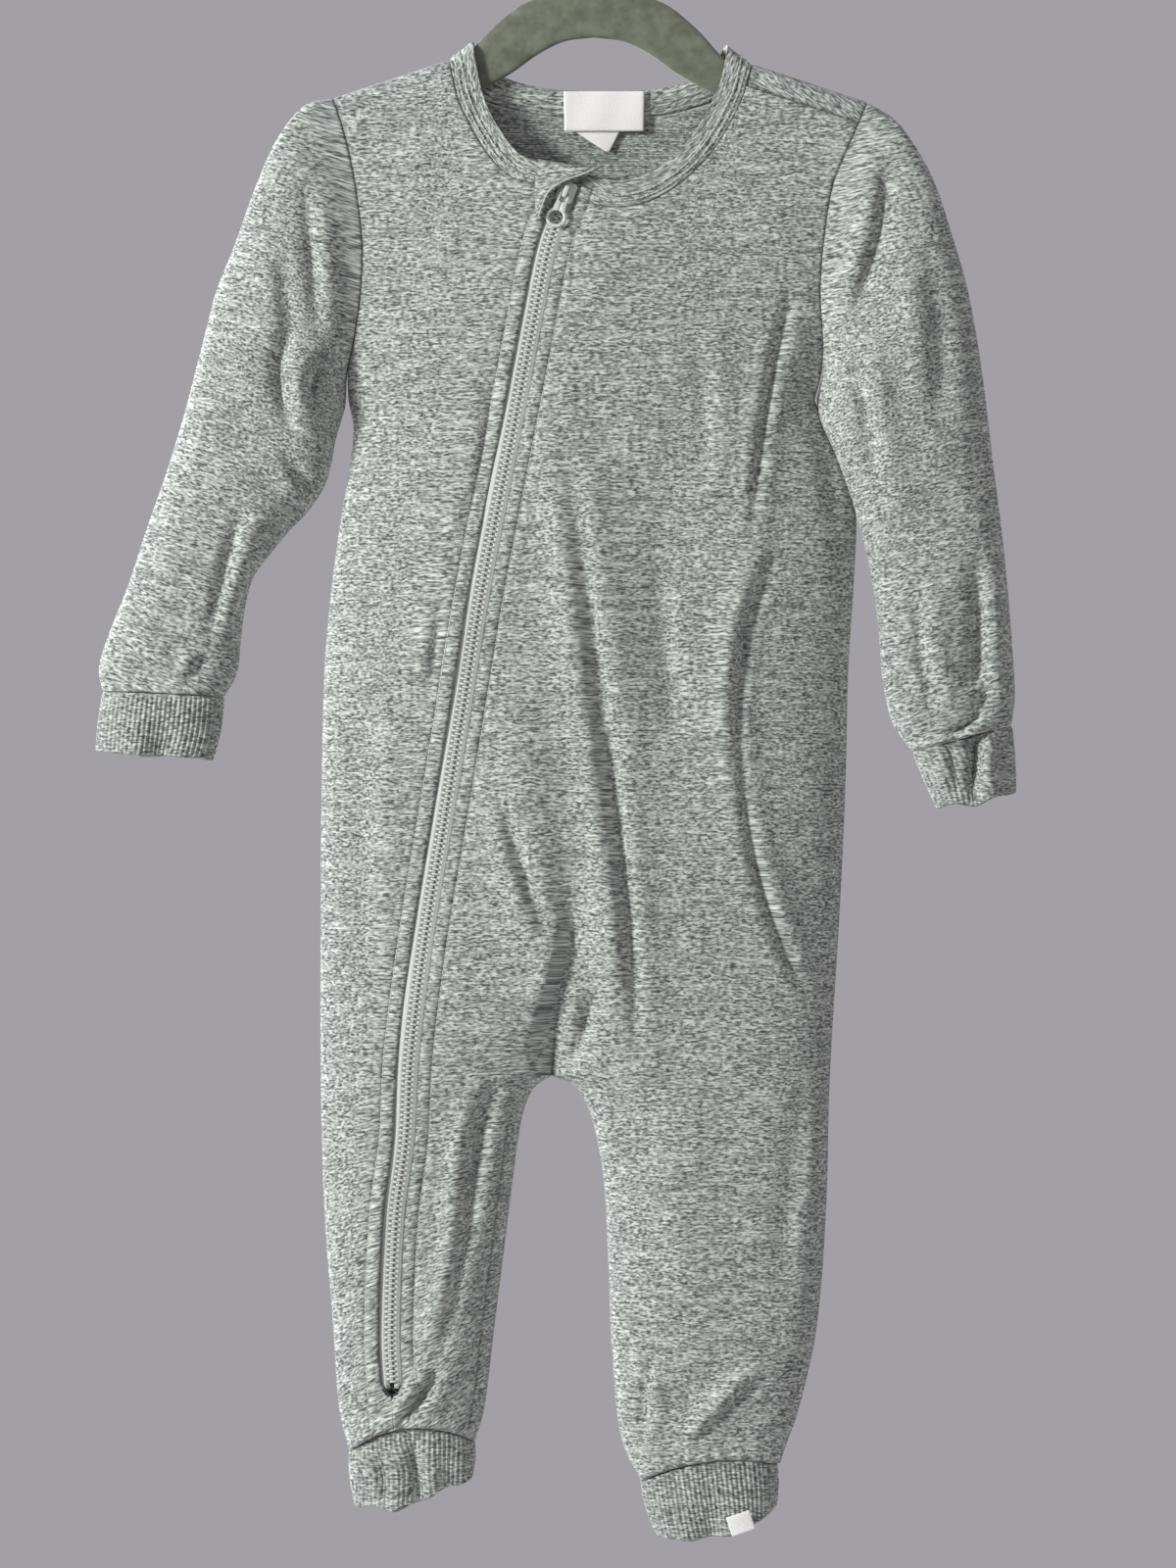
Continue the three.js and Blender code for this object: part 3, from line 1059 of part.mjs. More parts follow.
const PIECES = [
  { name: 'front_right', finish: jersey, make: frontRight },
  { name: 'front_left', finish: jersey, make: frontLeft },
  { name: 'back', finish: jersey, make: back },
  { name: 'sleeve_right', finish: jersey, make: () => tube(SLEEVE_RIGHT, SLEEVE_ROWS, WALL, 'left') },
  { name: 'sleeve_left', finish: jersey, make: () => tube(SLEEVE_LEFT, SLEEVE_ROWS, WALL, 'right') },
  { name: 'neckband', finish: jersey, make: neckband },
  { name: 'wrist_cuff_right', finish: rib, make: () => tube(WRIST_RIGHT, CUFF_ROWS, RIB_WALL) },
  { name: 'wrist_cuff_left', finish: rib, make: () => tube(WRIST_LEFT, CUFF_ROWS, RIB_WALL) },
  { name: 'ankle_cuff_right', finish: rib, make: () => tube(ANKLE_RIGHT, CUFF_ROWS, RIB_WALL) },
  { name: 'ankle_cuff_left', finish: rib, make: () => tube(ANKLE_LEFT, CUFF_ROWS, RIB_WALL) },
  { name: 'zip_tape_right', finish: tapeCloth, make: () => tape(-TAPE_OUTER, -TAPE_INNER) },
  { name: 'zip_tape_left', finish: tapeCloth, make: () => tape(TAPE_INNER, TAPE_OUTER) },
  { name: 'zip_chain', finish: chainPlastic, make: chain },
  { name: 'zip_garage', finish: jersey, make: zipGarage },
  { name: 'zip_slider', finish: tabMetal, make: zipSlider },
  { name: 'pull_tab', finish: tabMetal, make: pullTab },
  { name: 'neck_label', finish: labelCloth, make: () => label(NECK_LABEL, NECK_AWAY) },
  { name: 'care_label', finish: labelCloth, make: () => label(CARE_LABEL, CARE_AWAY) },
  { name: 'ankle_tag', finish: labelCloth, make: ankleTag },
  { name: 'hanger', finish: flock, make: hanger },
  { name: 'hanger_hook', finish: hookWire, make: hangerHook },
];

const onesie = new THREE.Group();
PIECES.forEach(({ name, finish, make }) => {
  const mesh = new THREE.Mesh(make(), new THREE.MeshStandardMaterial(finish));
  mesh.name = name;
  onesie.add(mesh);
});

export default onesie;
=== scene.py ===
import math

import bpy
import numpy as np
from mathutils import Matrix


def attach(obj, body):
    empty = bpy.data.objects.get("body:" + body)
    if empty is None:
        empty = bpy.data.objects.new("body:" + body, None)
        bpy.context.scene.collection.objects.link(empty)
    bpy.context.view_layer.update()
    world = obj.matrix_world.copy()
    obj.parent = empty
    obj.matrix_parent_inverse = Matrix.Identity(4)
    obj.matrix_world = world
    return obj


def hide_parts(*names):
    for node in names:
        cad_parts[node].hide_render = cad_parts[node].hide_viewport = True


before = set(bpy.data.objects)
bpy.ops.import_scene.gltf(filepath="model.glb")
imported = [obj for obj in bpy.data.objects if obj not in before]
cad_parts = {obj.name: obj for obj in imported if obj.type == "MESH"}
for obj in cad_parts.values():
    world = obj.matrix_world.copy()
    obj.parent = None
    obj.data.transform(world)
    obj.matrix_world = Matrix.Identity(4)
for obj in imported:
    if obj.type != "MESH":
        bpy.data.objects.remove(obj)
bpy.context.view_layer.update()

# A zip-front onesie pajama hanging flat on a flocked hanger.
# Tables and sizes are in millimetres and become metres when a mesh is made. Z up, the front faces -Y.
# "drop" is a height measured down from the neck points, "arc" a distance over the cloth from the
# shoulder ridge, positive down the front and negative down the back.
MM = 0.001

# Driving sizes, as in the part
NECK_Z = -90
WALL = 1.8
BAND_WALL = 2.2
GAP = 0.3
CURVED_GAP = 0.2
ROLL = 4.5
QUARTER = ROLL * math.pi / 2
SPREAD = 150
RIDGE_SLOPE = 0.335
RIDGE_DROP = 9.5
NECK_HALF = 68
NECK_SOFT = 15
UNDERARM = 167
CROTCH = 481
CROTCH_X = -19.6
CROTCH_FADE = 75
LEG_STRAIGHT = 600
ARM_FLARE = 0.45
ARM_SOFT = 12
SHOULDER_FLARE = 220
SHOULDER_FORWARD = 10.5
ZIP_TOP = 74
ZIP_END = 627
ZIP_HALF_OPEN = 5.2
ZIP_CLOSING = 9
ZIP_CORNER = 0.93
SHUT = 0.03
UPPER_ARC = 142

# How fine the cloth is, and how far its faces lie from the middle of the wall
STEP = 1.9
EDGE_STEP = 0.6
OUTSIDE = 0.9
INSIDE = 0.5
TOPSTITCH = 6.0


def table(columns, *rows):
    """Named columns as arrays."""
    return {name: np.array(values, float) for name, values in zip(columns.split(), zip(*rows))}


# Side seams and how far the front and the back stand off the middle, by height
TRUNK = table(
    "drop left right front back",
    (167, -114.0, 102.5, 19, 14), (180, -111.8, 108.0, 20, 14), (196, -113.2, 116.0, 21, 15),
    (218, -116.9, 121.6, 22, 16), (255, -121.9, 120.6, 23, 17), (291, -125.1, 118.3, 23, 18),
    (346, -126.5, 116.9, 22, 18), (400, -126.9, 114.5, 21, 18), (481, -126.9, 109.7, 18, 16),
    (546, -125.1, 107.8, 16, 14), (600, -121.0, 103.3, 15, 13), (637, -118.3, 95.1, 14, 12),
    (657, -113.3, 88.0, 13, 11), (670, -111.0, 84.5, 13, 11),
)
INSEAM = table(
    "drop left right",
    (481, -19.6, -19.6), (485, -26.0, -10.0), (491, -30.4, -5.2), (502, -34.0, -0.4), (528, -37.8, 4.6),
    (564, -42.3, 6.8), (601, -46.9, 8.2), (637, -51.4, 10.9), (655, -56.4, 14.5), (670, -58.0, 22.5),
)
ARMHOLE = table(
    "drop left right",
    (27, -121.0, 128.0), (39, -117.2, 123.0), (52, -113.8, 117.4), (68, -110.6, 111.0), (95, -107.4, 106.6),
    (118, -108.2, 105.1), (141, -111.5, 106.4), (154, -114.2, 105.8), (167, -114.0, 102.5),
)
ZIP_LINE = table(
    "drop x",
    (58, -8.2), (74, -13.4), (95, -21.2), (127, -27.8), (182, -38.2), (255, -52.3), (309, -61.0), (364, -70.1),
    (419, -79.2), (473, -85.8), (510, -87.8), (546, -92.4), (601, -94.6), (627, -93.3), (660, -91.5),
)

# Seam and free edge of the neckband: from the zip up the right front, round the back, down the left front
NECK = table(
    "side seam_x seam_drop free_x free_drop",
    (1, -17.4, 69.8, -13.2, 59.6), (1, -27.5, 67.4, -24.0, 57.4), (1, -36.9, 64.6, -32.5, 54.8),
    (1, -43.4, 59.6, -37.3, 50.8), (1, -50.2, 51.5, -42.2, 44.2), (1, -56.4, 41.0, -47.6, 35.0),
    (1, -61.9, 29.6, -51.6, 25.0), (1, -65.1, 18.2, -54.2, 15.4), (0, -66.4, 0, -56.0, 0),
    (-1, -63.0, 19.5, -53.2, 12.5), (-1, -52.5, 26.5, -44.5, 16.0), (-1, -36.0, 31.5, -31.4, 19.6),
    (-1, -16.5, 34.2, -14.6, 21.8), (-1, 3.0, 35.0, 2.7, 22.4), (-1, 24.0, 34.4, 21.2, 22.0),
    (-1, 44.0, 31.0, 38.5, 20.0), (-1, 61.5, 24.0, 52.8, 15.5), (0, 71.9, 0, 61.2, 0),
    (1, 70.6, 21.4, 60.0, 17.2), (1, 65.9, 33.2, 56.0, 26.8), (1, 59.8, 44.6, 50.4, 37.4),
    (1, 52.8, 54.6, 44.3, 46.4), (1, 43.5, 64.2, 36.7, 54.9), (1, 32.3, 72.3, 27.7, 61.2),
    (1, 21.5, 77.0, 19.0, 65.0), (1, 10.5, 78.5, 10.6, 66.4), (1, 1.0, 77.4, 3.4, 65.2),
    (1, -8.0, 75.0, -3.0, 63.2),
)
# Rows of that table: where it crosses the shoulder ridges and the left shoulder seam, and its last
RIGHT_RIDGE = 8
LEFT_RIDGE = 17
LEFT_SEAM = 18
NECK_LAST = len(NECK["side"]) - 1

# Sleeve and cuff sections: outer and inner edge, half thickness, how far ahead, sag of the section's middle
SECTION = "out_x out_drop in_x in_drop depth ahead sag"
SLEEVE_RIGHT = table(
    SECTION,
    (-121.0, 27.3, -116.3, 166, 12, 0, 0), (-134.5, 31, -116.8, 171, 13, 1, 0),
    (-147.0, 47, -118.8, 178, 14, 3, 0), (-157.0, 70, -121.2, 187, 15, 4, 0),
    (-166.0, 95, -122.8, 196, 15, 4, 0), (-175.0, 118, -126.0, 207, 15, 4, 0),
    (-182.5, 147, -134.0, 219, 15, 4, 0), (-190.0, 176, -143.5, 229, 15, 5, 0),
    (-198.0, 202, -151.5, 239, 15, 5, 0), (-207.0, 228, -158.8, 249, 15, 6, 0),
    (-215.2, 253, -162.8, 263, 15, 6, 0), (-223.5, 274, -165.0, 280, 15, 6, 0),
    (-228.9, 291, -166.6, 294, 14, 6, 0), (-227.4, 302.6, -172.4, 304.8, 12, 6, 0),
)
SLEEVE_LEFT = table(
    SECTION,
    (127.6, 29.4, 104.8, 166, 12, 0, 0), (140.2, 38, 105.0, 171, 13, 3, 0), (150.0, 52, 106.4, 177, 14, 6, 0),
    (158.3, 69, 109.2, 184, 15, 8, 0), (165.3, 91, 112.4, 191, 16, 9, 0), (172.0, 114, 116.2, 201, 16, 9, 0),
    (177.0, 140, 120.4, 213, 16, 9, 0), (181.0, 168, 125.0, 229, 16, 9, 0), (184.6, 198, 128.8, 245, 15, 8, 0),
    (188.2, 226, 131.4, 260, 15, 8, 0), (191.2, 255, 133.4, 278, 15, 8, 0), (193.2, 280, 135.0, 298, 15, 8, 0),
    (194.6, 304, 139.5, 317, 14, 8, 0), (193.0, 318.2, 148.6, 330.2, 12, 8, 0),
)
WRIST_RIGHT = table(
    SECTION, (-227.2, 303.1, -172.7, 305.3, 12, 6, 0), (-229.3, 317.0, -174.2, 320.0, 12.5, 6, 0),
    (-230.5, 331.0, -178.0, 334.4, 12, 6, 0),
)
WRIST_LEFT = table(
    SECTION, (193.2, 318.8, 148.9, 330.8, 12, 8, 0), (194.6, 334.0, 154.5, 344.5, 12, 8, 0),
    (195.2, 350.6, 160.2, 357.4, 11, 8, 0),
)
ANKLE_RIGHT = table(
    SECTION, (-113.3, 656.6, -56.4, 651.8, 12, 0.5, -10), (-112.6, 669.0, -56.2, 659.5, 12.5, 0.5, -5),
    (-110.2, 682.0, -57.4, 667.0, 12, 0.5, 5),
)
ANKLE_LEFT = table(
    SECTION, (84.6, 662.0, 22.4, 670.3, 12, 0.5, -6), (85.0, 672.0, 25.2, 682.0, 12.5, 0.5, 1),
    (84.2, 682.6, 29.4, 694.0, 12, 0.5, 7),
)

# The largest folds, as in the part: start, middle and end, height (a trough is negative), half width
FOLD = "x1 d1 x2 d2 x3 d3 height width"
FRONT_FOLDS = table(
    FOLD,
    (91, 138, 78, 185, 75, 235, 4, 7), (76, 238, 63, 300, 72, 366, 5, 8), (72, 362, 82, 395, 97, 440, 4, 8),
    (-14, 164, -2, 255, 10, 342, 4.5, 13), (10, 340, 16, 415, 25, 482, 4, 11),
    (-38, 300, -30, 370, -24, 440, 3.5, 12), (40, 180, 36, 270, 40, 360, -3, 16),
    (-12, 380, -8, 420, -4, 462, -3, 8), (-64, 200, -70, 262, -76, 300, 2, 9),
    (-44, 500, -60, 560, -76, 618, 3.5, 10), (-62, 608, -72, 628, -84, 643, 2.5, 6),
    (84, 616, 62, 632, 46, 652, 3, 7), (34, 500, 42, 560, 50, 615, 2.5, 16),
)
BACK_FOLDS = table(
    FOLD,
    (70, 150, 60, 240, 66, 340, 4, 10), (-68, 170, -60, 260, -70, 350, 3.5, 12),
    (-30, 250, -22, 350, -30, 450, 4, 14), (28, 290, 16, 380, 4, 460, 4, 13),
    (-52, 500, -66, 560, -86, 620, 3, 11), (30, 500, 46, 560, 60, 625, 3, 12),
)

# Finer creases: a soft ridge beside a narrow trough, on one side of it
CREASE = "x1 d1 x2 d2 x3 d3 ridge wide trough narrow side"
FRONT_CREASES = table(
    CREASE,
    (93, 112, 79, 176, 73, 236, 0.5, 7, 3.3, 3.0, -1),
    (85, 238, 67.5, 288, 69, 350, 0.5, 8, 3.3, 3.0, -1),
    (67.5, 330, 77, 392, 101, 450, 0.5, 7, 3.3, 3.0, -1),
    (105, 132, 109, 182, 117, 240, 0.0, 6, 2.6, 6, -1),
    (-14, 180, 0, 284, 11, 376, 1.6, 9, 3.2, 6, -1),
    (5, 318, 14, 396, 21, 476, 1.6, 9, 4.0, 4.4, -1),
    (-43, 350, -33, 385, -21, 420, 1.0, 6, 2.6, 4, -1),
    (-9, 404, -17, 440, -28, 474, 1.2, 6, 3.0, 4.4, -1),
    (-44, 482, -55, 512, -60, 570, 1.6, 6, 3.0, 5, -1),
    (2, 436, -5, 460, -12, 478, 1.0, 5, 2.0, 3.5, -1),
    (-71, 256, -73, 280, -76, 306, 0.6, 5, 1.8, 3.2, -1),
    (-53, 498, -63, 572, -74, 614, 1.2, 6, 1.6, 4, -1),
    (-71, 616, -81, 630, -90, 643, 2.4, 5, 3.6, 3, -1),
    (-108, 634, -103, 637.5, -96, 636, 0.8, 3, 1.8, 2.2, 1),
    (82, 618, 62, 634, 46, 654, 1.8, 5, 2.6, 3, -1),
    (30, 606, 24, 630, 26, 652, 1.2, 5, 1.6, 3, 1),
    (-48, 150, -50, 190, -55, 226, 0.5, 6, 1.0, 4, -1),
    (44, 128, 52, 168, 50, 214, 0.9, 8, 1.0, 6, 1),
    (28, 226, 34, 282, 38, 330, 0.9, 9, 1.2, 6, 1),
    (100, 470, 92, 530, 88, 590, 0.9, 8, 1.0, 6, 1),
    (-104, 300, -106, 380, -104, 470, 0.9, 9, 1.0, 6, 1),
)
BACK_CREASES = table(
    CREASE,
    (82, 176, 72, 240, 74, 306, 1.4, 6, 2.2, 2.8, 1),
    (-80, 190, -70, 262, -74, 330, 1.4, 6, 2.0, 3, -1),
    (-6, 210, -2, 300, -10, 392, 1.0, 9, 1.3, 6, 1),
    (-34, 400, -26, 442, -21, 476, 1.4, 6, 2.2, 3, -1),
    (8, 404, -8, 446, -17, 477, 1.4, 6, 2.2, 3, 1),
    (-56, 506, -70, 560, -84, 616, 1.2, 7, 1.6, 4, 1),
    (36, 506, 50, 562, 62, 620, 1.2, 7, 1.6, 4, -1),
    (-92, 616, -82, 630, -74, 644, 1.6, 5, 2.4, 3, 1),
    (40, 620, 54, 636, 70, 646, 1.6, 5, 2.2, 3, -1),
    (40, 74, 44, 120, 52, 170, 0.9, 8, 1.0, 6, 1),
    (-44, 74, -50, 120, -54, 170, 0.9, 8, 1.0, 6, -1),
)
SLEEVE_RIGHT_CREASES = table(
    CREASE,
    (-139, 136, -145, 158, -137, 186, 2.2, 6, 3.2, 4, 1),
    (-120, 146, -131, 161, -125, 174, 1.6, 4, 2.6, 2.6, -1),
    (-127, 176, -121, 187, -128, 202, 1.4, 4, 2.2, 2.6, 1),
    (-146, 196, -136, 204, -130, 218, 1.0, 5, 1.6, 3.5, -1),
    (-134, 66, -130, 104, -128, 140, 1.4, 7, 1.8, 4, 1),
    (-146, 90, -142, 126, -140, 148, 1.2, 8, 1.2, 5, -1),
    (-160, 214, -170, 246, -178, 282, 1.8, 8, 2.2, 4, 1),
    (-196, 196, -206, 238, -214, 276, 1.2, 9, 1.4, 6, -1),
    (-216, 284, -204, 292, -192, 298, 1.0, 4, 1.6, 3, 1),
    (-180, 284, -184, 292, -190, 300, 0.8, 4, 1.4, 3, -1),
)
SLEEVE_LEFT_CREASES = table(
    CREASE,
    (136, 52, 131, 92, 118, 136, 2.0, 7, 2.4, 4, -1),
    (118, 140, 126, 176, 134, 220, 1.4, 7, 1.8, 4, 1),
    (152, 90, 158, 140, 160, 190, 1.4, 9, 1.4, 6, -1),
    (176, 236, 178, 276, 178, 318, 1.8, 7, 3.2, 5, 1),
    (163, 324, 171, 320, 181, 312, 1.4, 4, 3.0, 2.4, -1),
    (150, 250, 152, 286, 160, 318, 1.6, 7, 2.0, 4, 1),
    (140, 296, 150, 306, 162, 312, 1.2, 4, 1.8, 3, 1),
    (186, 296, 180, 306, 172, 314, 1.0, 4, 1.6, 3, -1),
    (108, 166, 118, 176, 130, 178, 1.6, 5, 2.0, 3, 1),
)
WRIST_LEFT_CREASES = table(
    CREASE,
    (177, 312, 176.5, 332, 175, 356, 1.2, 6, 3.6, 3.6, 1),
    (163, 322, 166, 338, 168, 352, 0.6, 4, 1.2, 3, -1),
    (186, 318, 187, 336, 188, 352, 0.6, 4, 1.2, 3, -1),
)
ANKLE_RIGHT_CREASES = table(
    CREASE,
    (-84, 650, -82, 664, -79, 684, 1.0, 6, 2.2, 3.6, 1),
    (-100, 654, -97, 668, -96, 684, 0.6, 5, 1.2, 3, -1),
)
FOLDS = {"front": FRONT_FOLDS, "back": BACK_FOLDS}
CREASES = {"front": FRONT_CREASES, "back": BACK_CREASES}

# How folds are drawn: steps along a path, how its ends fade, and factors on the depths in the tables
PATH_STEPS = 8
END = 0.08
END_STRENGTH = math.sin(math.pi * END)
CREASE_DEPTH = 1.8
SLEEVE_DEPTH = 2.2
FOLD_DEPTH = 0.95
ZIP_CALM = 9
FORK_POWER = 2.5
FOLD_FROM = 0.25
FOLD_FULL = 0.4
# Slow waves of cloth that hangs freely: two lengths over two pi, a start and a height
WAVES = ((61, 97, 0.5, 0.4), (37, -53, 1.9, 0.25), (23, 31, 0.7, 0.16), (-47, 29, 2.6, 0.2))


def mix(a, b, t):
    return a + (b - a) * t


def clamp(value, low=0.0, high=1.0):
    return np.clip(value, low, high)


def ease(t):
    return t * t * (3 - 2 * t)


def bump(distance, at, width):
    """A rounded rise of height 1, one width to each side of a place."""
    return np.exp(-((distance - at) / width) ** 2)


def signed_power(value, power):
    return np.sign(value) * np.abs(value) ** power


def unit(vectors):
    return vectors / np.maximum(np.linalg.norm(vectors, axis=-1, keepdims=True), 1e-9)


def curve(rows, key, column):
    """A smooth function through one column of a table."""
    keys = rows[key]
    values = rows[column]
    before = np.r_[0, np.arange(len(keys) - 1)]
    after = np.r_[np.arange(1, len(keys)), len(keys) - 1]
    slopes = (values[after] - values[before]) / (keys[after] - keys[before])

    def read(at):
        place = np.clip(at, keys[0], keys[-1])
        n = np.clip(np.searchsorted(keys, place) - 1, 0, len(keys) - 2)
        span = keys[n + 1] - keys[n]
        t = (place - keys[n]) / span
        a, b = values[n], values[n + 1]
        rise, fall = slopes[n] * span, slopes[n + 1] * span
        return a + rise * t + (3 * (b - a) - 2 * rise - fall) * t ** 2 + (2 * (a - b) + rise + fall) * t ** 3

    return read


side_left = curve(TRUNK, "drop", "left")
side_right = curve(TRUNK, "drop", "right")
stand_off = {"front": curve(TRUNK, "drop", "front"), "back": curve(TRUNK, "drop", "back")}
inseam_left = curve(INSEAM, "drop", "left")
inseam_right = curve(INSEAM, "drop", "right")
armhole = {"left": curve(ARMHOLE, "drop", "left"), "right": curve(ARMHOLE, "drop", "right")}
zip_x = curve(ZIP_LINE, "drop", "x")


def ridge(x):
    return RIDGE_DROP + RIDGE_SLOPE * (np.hypot(x, NECK_SOFT) - math.hypot(NECK_HALF, NECK_SOFT))


def rounding(s, power):
    return (1 - np.minimum(np.abs(s), 1) ** 3) ** power


def across_section(x, low, high, power):
    """Rounding of a section between two edges."""
    return rounding((2 * x - low - high) / (high - low), power)


def along(row, x, drop):
    """Signed distance from a fold's line and the place along it, for every point."""
    t = np.linspace(0, 1, PATH_STEPS + 1)
    mid_x = 2 * row["x2"] - (row["x1"] + row["x3"]) / 2
    mid_d = 2 * row["d2"] - (row["d1"] + row["d3"]) / 2
    px = (1 - t) ** 2 * row["x1"] + 2 * (1 - t) * t * mid_x + t * t * row["x3"]
    pd = (1 - t) ** 2 * row["d1"] + 2 * (1 - t) * t * mid_d + t * t * row["d3"]
    away = np.full(np.shape(x), 1e6)
    place = np.zeros(np.shape(x))
    for n in range(PATH_STEPS):
        dx, dd = px[n + 1] - px[n], pd[n + 1] - pd[n]
        share = clamp(((x - px[n]) * dx + (drop - pd[n]) * dd) / (dx * dx + dd * dd))
        off_x, off_d = x - px[n] - share * dx, drop - pd[n] - share * dd
        distance = np.hypot(off_x, off_d) * np.where(off_x * dd - off_d * dx > 0, 1, -1)
        nearer = np.abs(distance) < np.abs(away)
        away = np.where(nearer, distance, away)
        place = np.where(nearer, mix(t[n], t[n + 1], share), place)
    return away, np.sin(math.pi * mix(END, 1 - END, place))


def readers(rows):
    """A smooth function for each column of a table, from 0 at its first row to 1 at its last."""
    place = np.linspace(0, 1, len(next(iter(rows.values()))))
    return {name: curve(dict(rows, place=place), "place", name) for name in rows}


def rows_of(rows):
    return [dict(zip(rows, values)) for values in zip(*rows.values())]


def folds_at(rows, x, drop):
    total = np.zeros(np.shape(x))
    for row in rows_of(rows):
        away, strength = along(row, x, drop)
        total += row["height"] * strength * bump(away, 0, row["width"])
    return total


def creases_at(rows, x, drop):
    total = np.zeros(np.shape(x))
    for row in rows_of(rows):
        away, strength = along(row, x, drop)
        strength = (strength - END_STRENGTH) / (1 - END_STRENGTH)
        beside = row["side"] * (row["wide"] + row["narrow"]) / 2
        swell = row["ridge"] * bump(away, beside, row["wide"])
        total += strength * (swell - row["trough"] * bump(away, 0, row["narrow"]))
    return total


def waves_at(x, drop):
    return sum(high * np.sin(x / across + drop / down + start) * np.sin(drop / across - x / down)
               for across, down, start, high in WAVES)


def middle_x(drop):
    """The column that becomes the inside of both legs."""
    share = (CROTCH_X - zip_x(CROTCH)) / (side_right(CROTCH) - zip_x(CROTCH))
    right = np.where(drop < UNDERARM, armhole["right"](drop), side_right(drop))
    return mix(zip_x(drop), right, share)


# How far the zip's topstitching runs past its ends and fades there; height and half width of the puff beside
# it and of its dip; and the width of the painted shade line along a topstitching, and how dark that painted shade is
STITCH_PAST = 8
STITCH_FADE = 6
ZIP_PUFF = (0.45, 2.2)
ZIP_DIP = (0.75, 0.9)
LINE_WIDTH = 0.55
ZIP_STITCH_SHADE = 0.5
INSEAM_STITCH_SHADE = 0.8
INSEAM_DIP = 0.7


def zip_slope(drop):
    return (zip_x(drop + 2) - zip_x(drop - 2)) / 4


def from_zip(x, drop):
    """Distance from a front's folded edge at the zip, and 1 at heights where the edge is stitched."""
    away = np.abs(x - zip_x(drop)) / np.hypot(1, zip_slope(drop)) - ZIP_HALF_OPEN
    from_top, from_end = drop - ZIP_TOP + STITCH_PAST, ZIP_END + STITCH_PAST - drop
    return away, clamp(from_top / STITCH_FADE) * clamp(from_end / STITCH_FADE)


def zip_dip(x, drop):
    """The folded edge puffs up a little, and its topstitching draws it in."""
    away, stitched = from_zip(x, drop)
    puff = ZIP_PUFF[0] * bump(away, TOPSTITCH / 2, ZIP_PUFF[1])
    return (puff - ZIP_DIP[0] * bump(away, TOPSTITCH, ZIP_DIP[1])) * stitched


def depth_at(side, x, drop, fine=True):
    """How far the front or back cloth lies from the middle plane, with its creases where fine."""
    x, drop = np.broadcast_arrays(np.asarray(x, float), np.asarray(drop, float))
    fall = drop - ridge(x)
    spread = mix(ROLL, stand_off[side](drop), ease(clamp(fall / SPREAD)))
    roll = np.sqrt(1 - (1 - clamp(fall / ROLL)) ** 2)
    up = np.maximum(UNDERARM - drop, 0)
    flare = ARM_FLARE * up * up / (up + ARM_SOFT) + SHOULDER_FLARE * (up / UNDERARM) ** 3
    above = across_section(x, armhole["left"](drop) - flare, armhole["right"](drop) + flare, 0.5)
    left, right = side_left(drop), side_right(drop)
    in_leg = drop > CROTCH
    on_left = (x < middle_x(drop)) | (in_leg & (x < (inseam_left(drop) + inseam_right(drop)) / 2))
    low = np.where(on_left, left, np.where(in_leg, inseam_right(drop), middle_x(drop)))
    high = np.where(on_left, np.where(in_leg, inseam_left(drop), middle_x(drop)), right)
    apart = ease(clamp((drop - CROTCH + CROTCH_FADE) / CROTCH_FADE)) ** (FORK_POWER if fine else 1)
    outside = np.where(on_left, x < (low + high) / 2, x > (low + high) / 2)
    leg = across_section(x, low, high, np.where(outside, 0.5, 1 - apart / 2))
    shape = np.where(drop < UNDERARM, above, mix(across_section(x, left, right, 0.5), leg, apart))
    room = ease(clamp((shape - FOLD_FROM) / FOLD_FULL) * clamp((fall - 2 * ROLL) / (8 * ROLL)))
    folds = folds_at(FOLDS[side], x, drop)
    if fine:
        by_zip = clamp((np.abs(x - zip_x(drop)) - ZIP_CALM) / ZIP_CALM) if side == "front" else 1
        folds = folds * mix(1, FOLD_DEPTH, by_zip) + CREASE_DEPTH * creases_at(CREASES[side], x, drop)
        folds = folds + waves_at(x, drop)
    depth = spread * roll * shape + folds * room
    return depth + zip_dip(x, drop) if fine and side == "front" else depth


def arc_of(x, drop):
    return np.maximum(drop - ridge(x), ROLL) - ROLL + QUARTER


def fall_of(arc):
    size = np.abs(arc)
    return np.where(size < QUARTER, ROLL * (1 - np.cos(np.minimum(size, QUARTER) / ROLL)), ROLL + size - QUARTER)


def on_cloth(x, arc, lift=0.0):
    """Points on the garment's middle surface."""
    x, arc = np.broadcast_arrays(np.asarray(x, float), np.asarray(arc, float))
    drop = ridge(x) + fall_of(arc)
    y = np.where(arc >= 0, -depth_at("front", x, drop), depth_at("back", x, drop))
    return np.stack([x, y, NECK_Z - drop + lift], -1)


def off_cloth(side, x, drop, away, fine=True):
    """Points moved out from the cloth along its normal."""
    sign = -1 if side == "front" else 1
    y = depth_at(side, x, drop, fine)
    slope_x = (depth_at(side, x + 1, drop, fine) - depth_at(side, x - 1, drop, fine)) / 2
    slope_d = (depth_at(side, x, drop + 1, fine) - depth_at(side, x, drop - 1, fine)) / 2
    normal = np.stack([-slope_x, np.full(np.shape(y), float(sign)), slope_d], -1)
    normal /= np.linalg.norm(normal, axis=-1, keepdims=True)
    base = np.stack(np.broadcast_arrays(np.asarray(x, float), sign * y, NECK_Z - np.asarray(drop, float)), -1)
    return base + normal * np.asarray(away, float)[..., None], normal


# The rim of a shell: how high its outside stands there and beside it, and how much painted shade darkens it there,
# where the seam sinks
RIM_RISE = 0.35
BESIDE_RISE = 0.8
RIM_SHADE = 0.8
BESIDE_SHADE = 0.45
MERGE_DECIMALS = 3


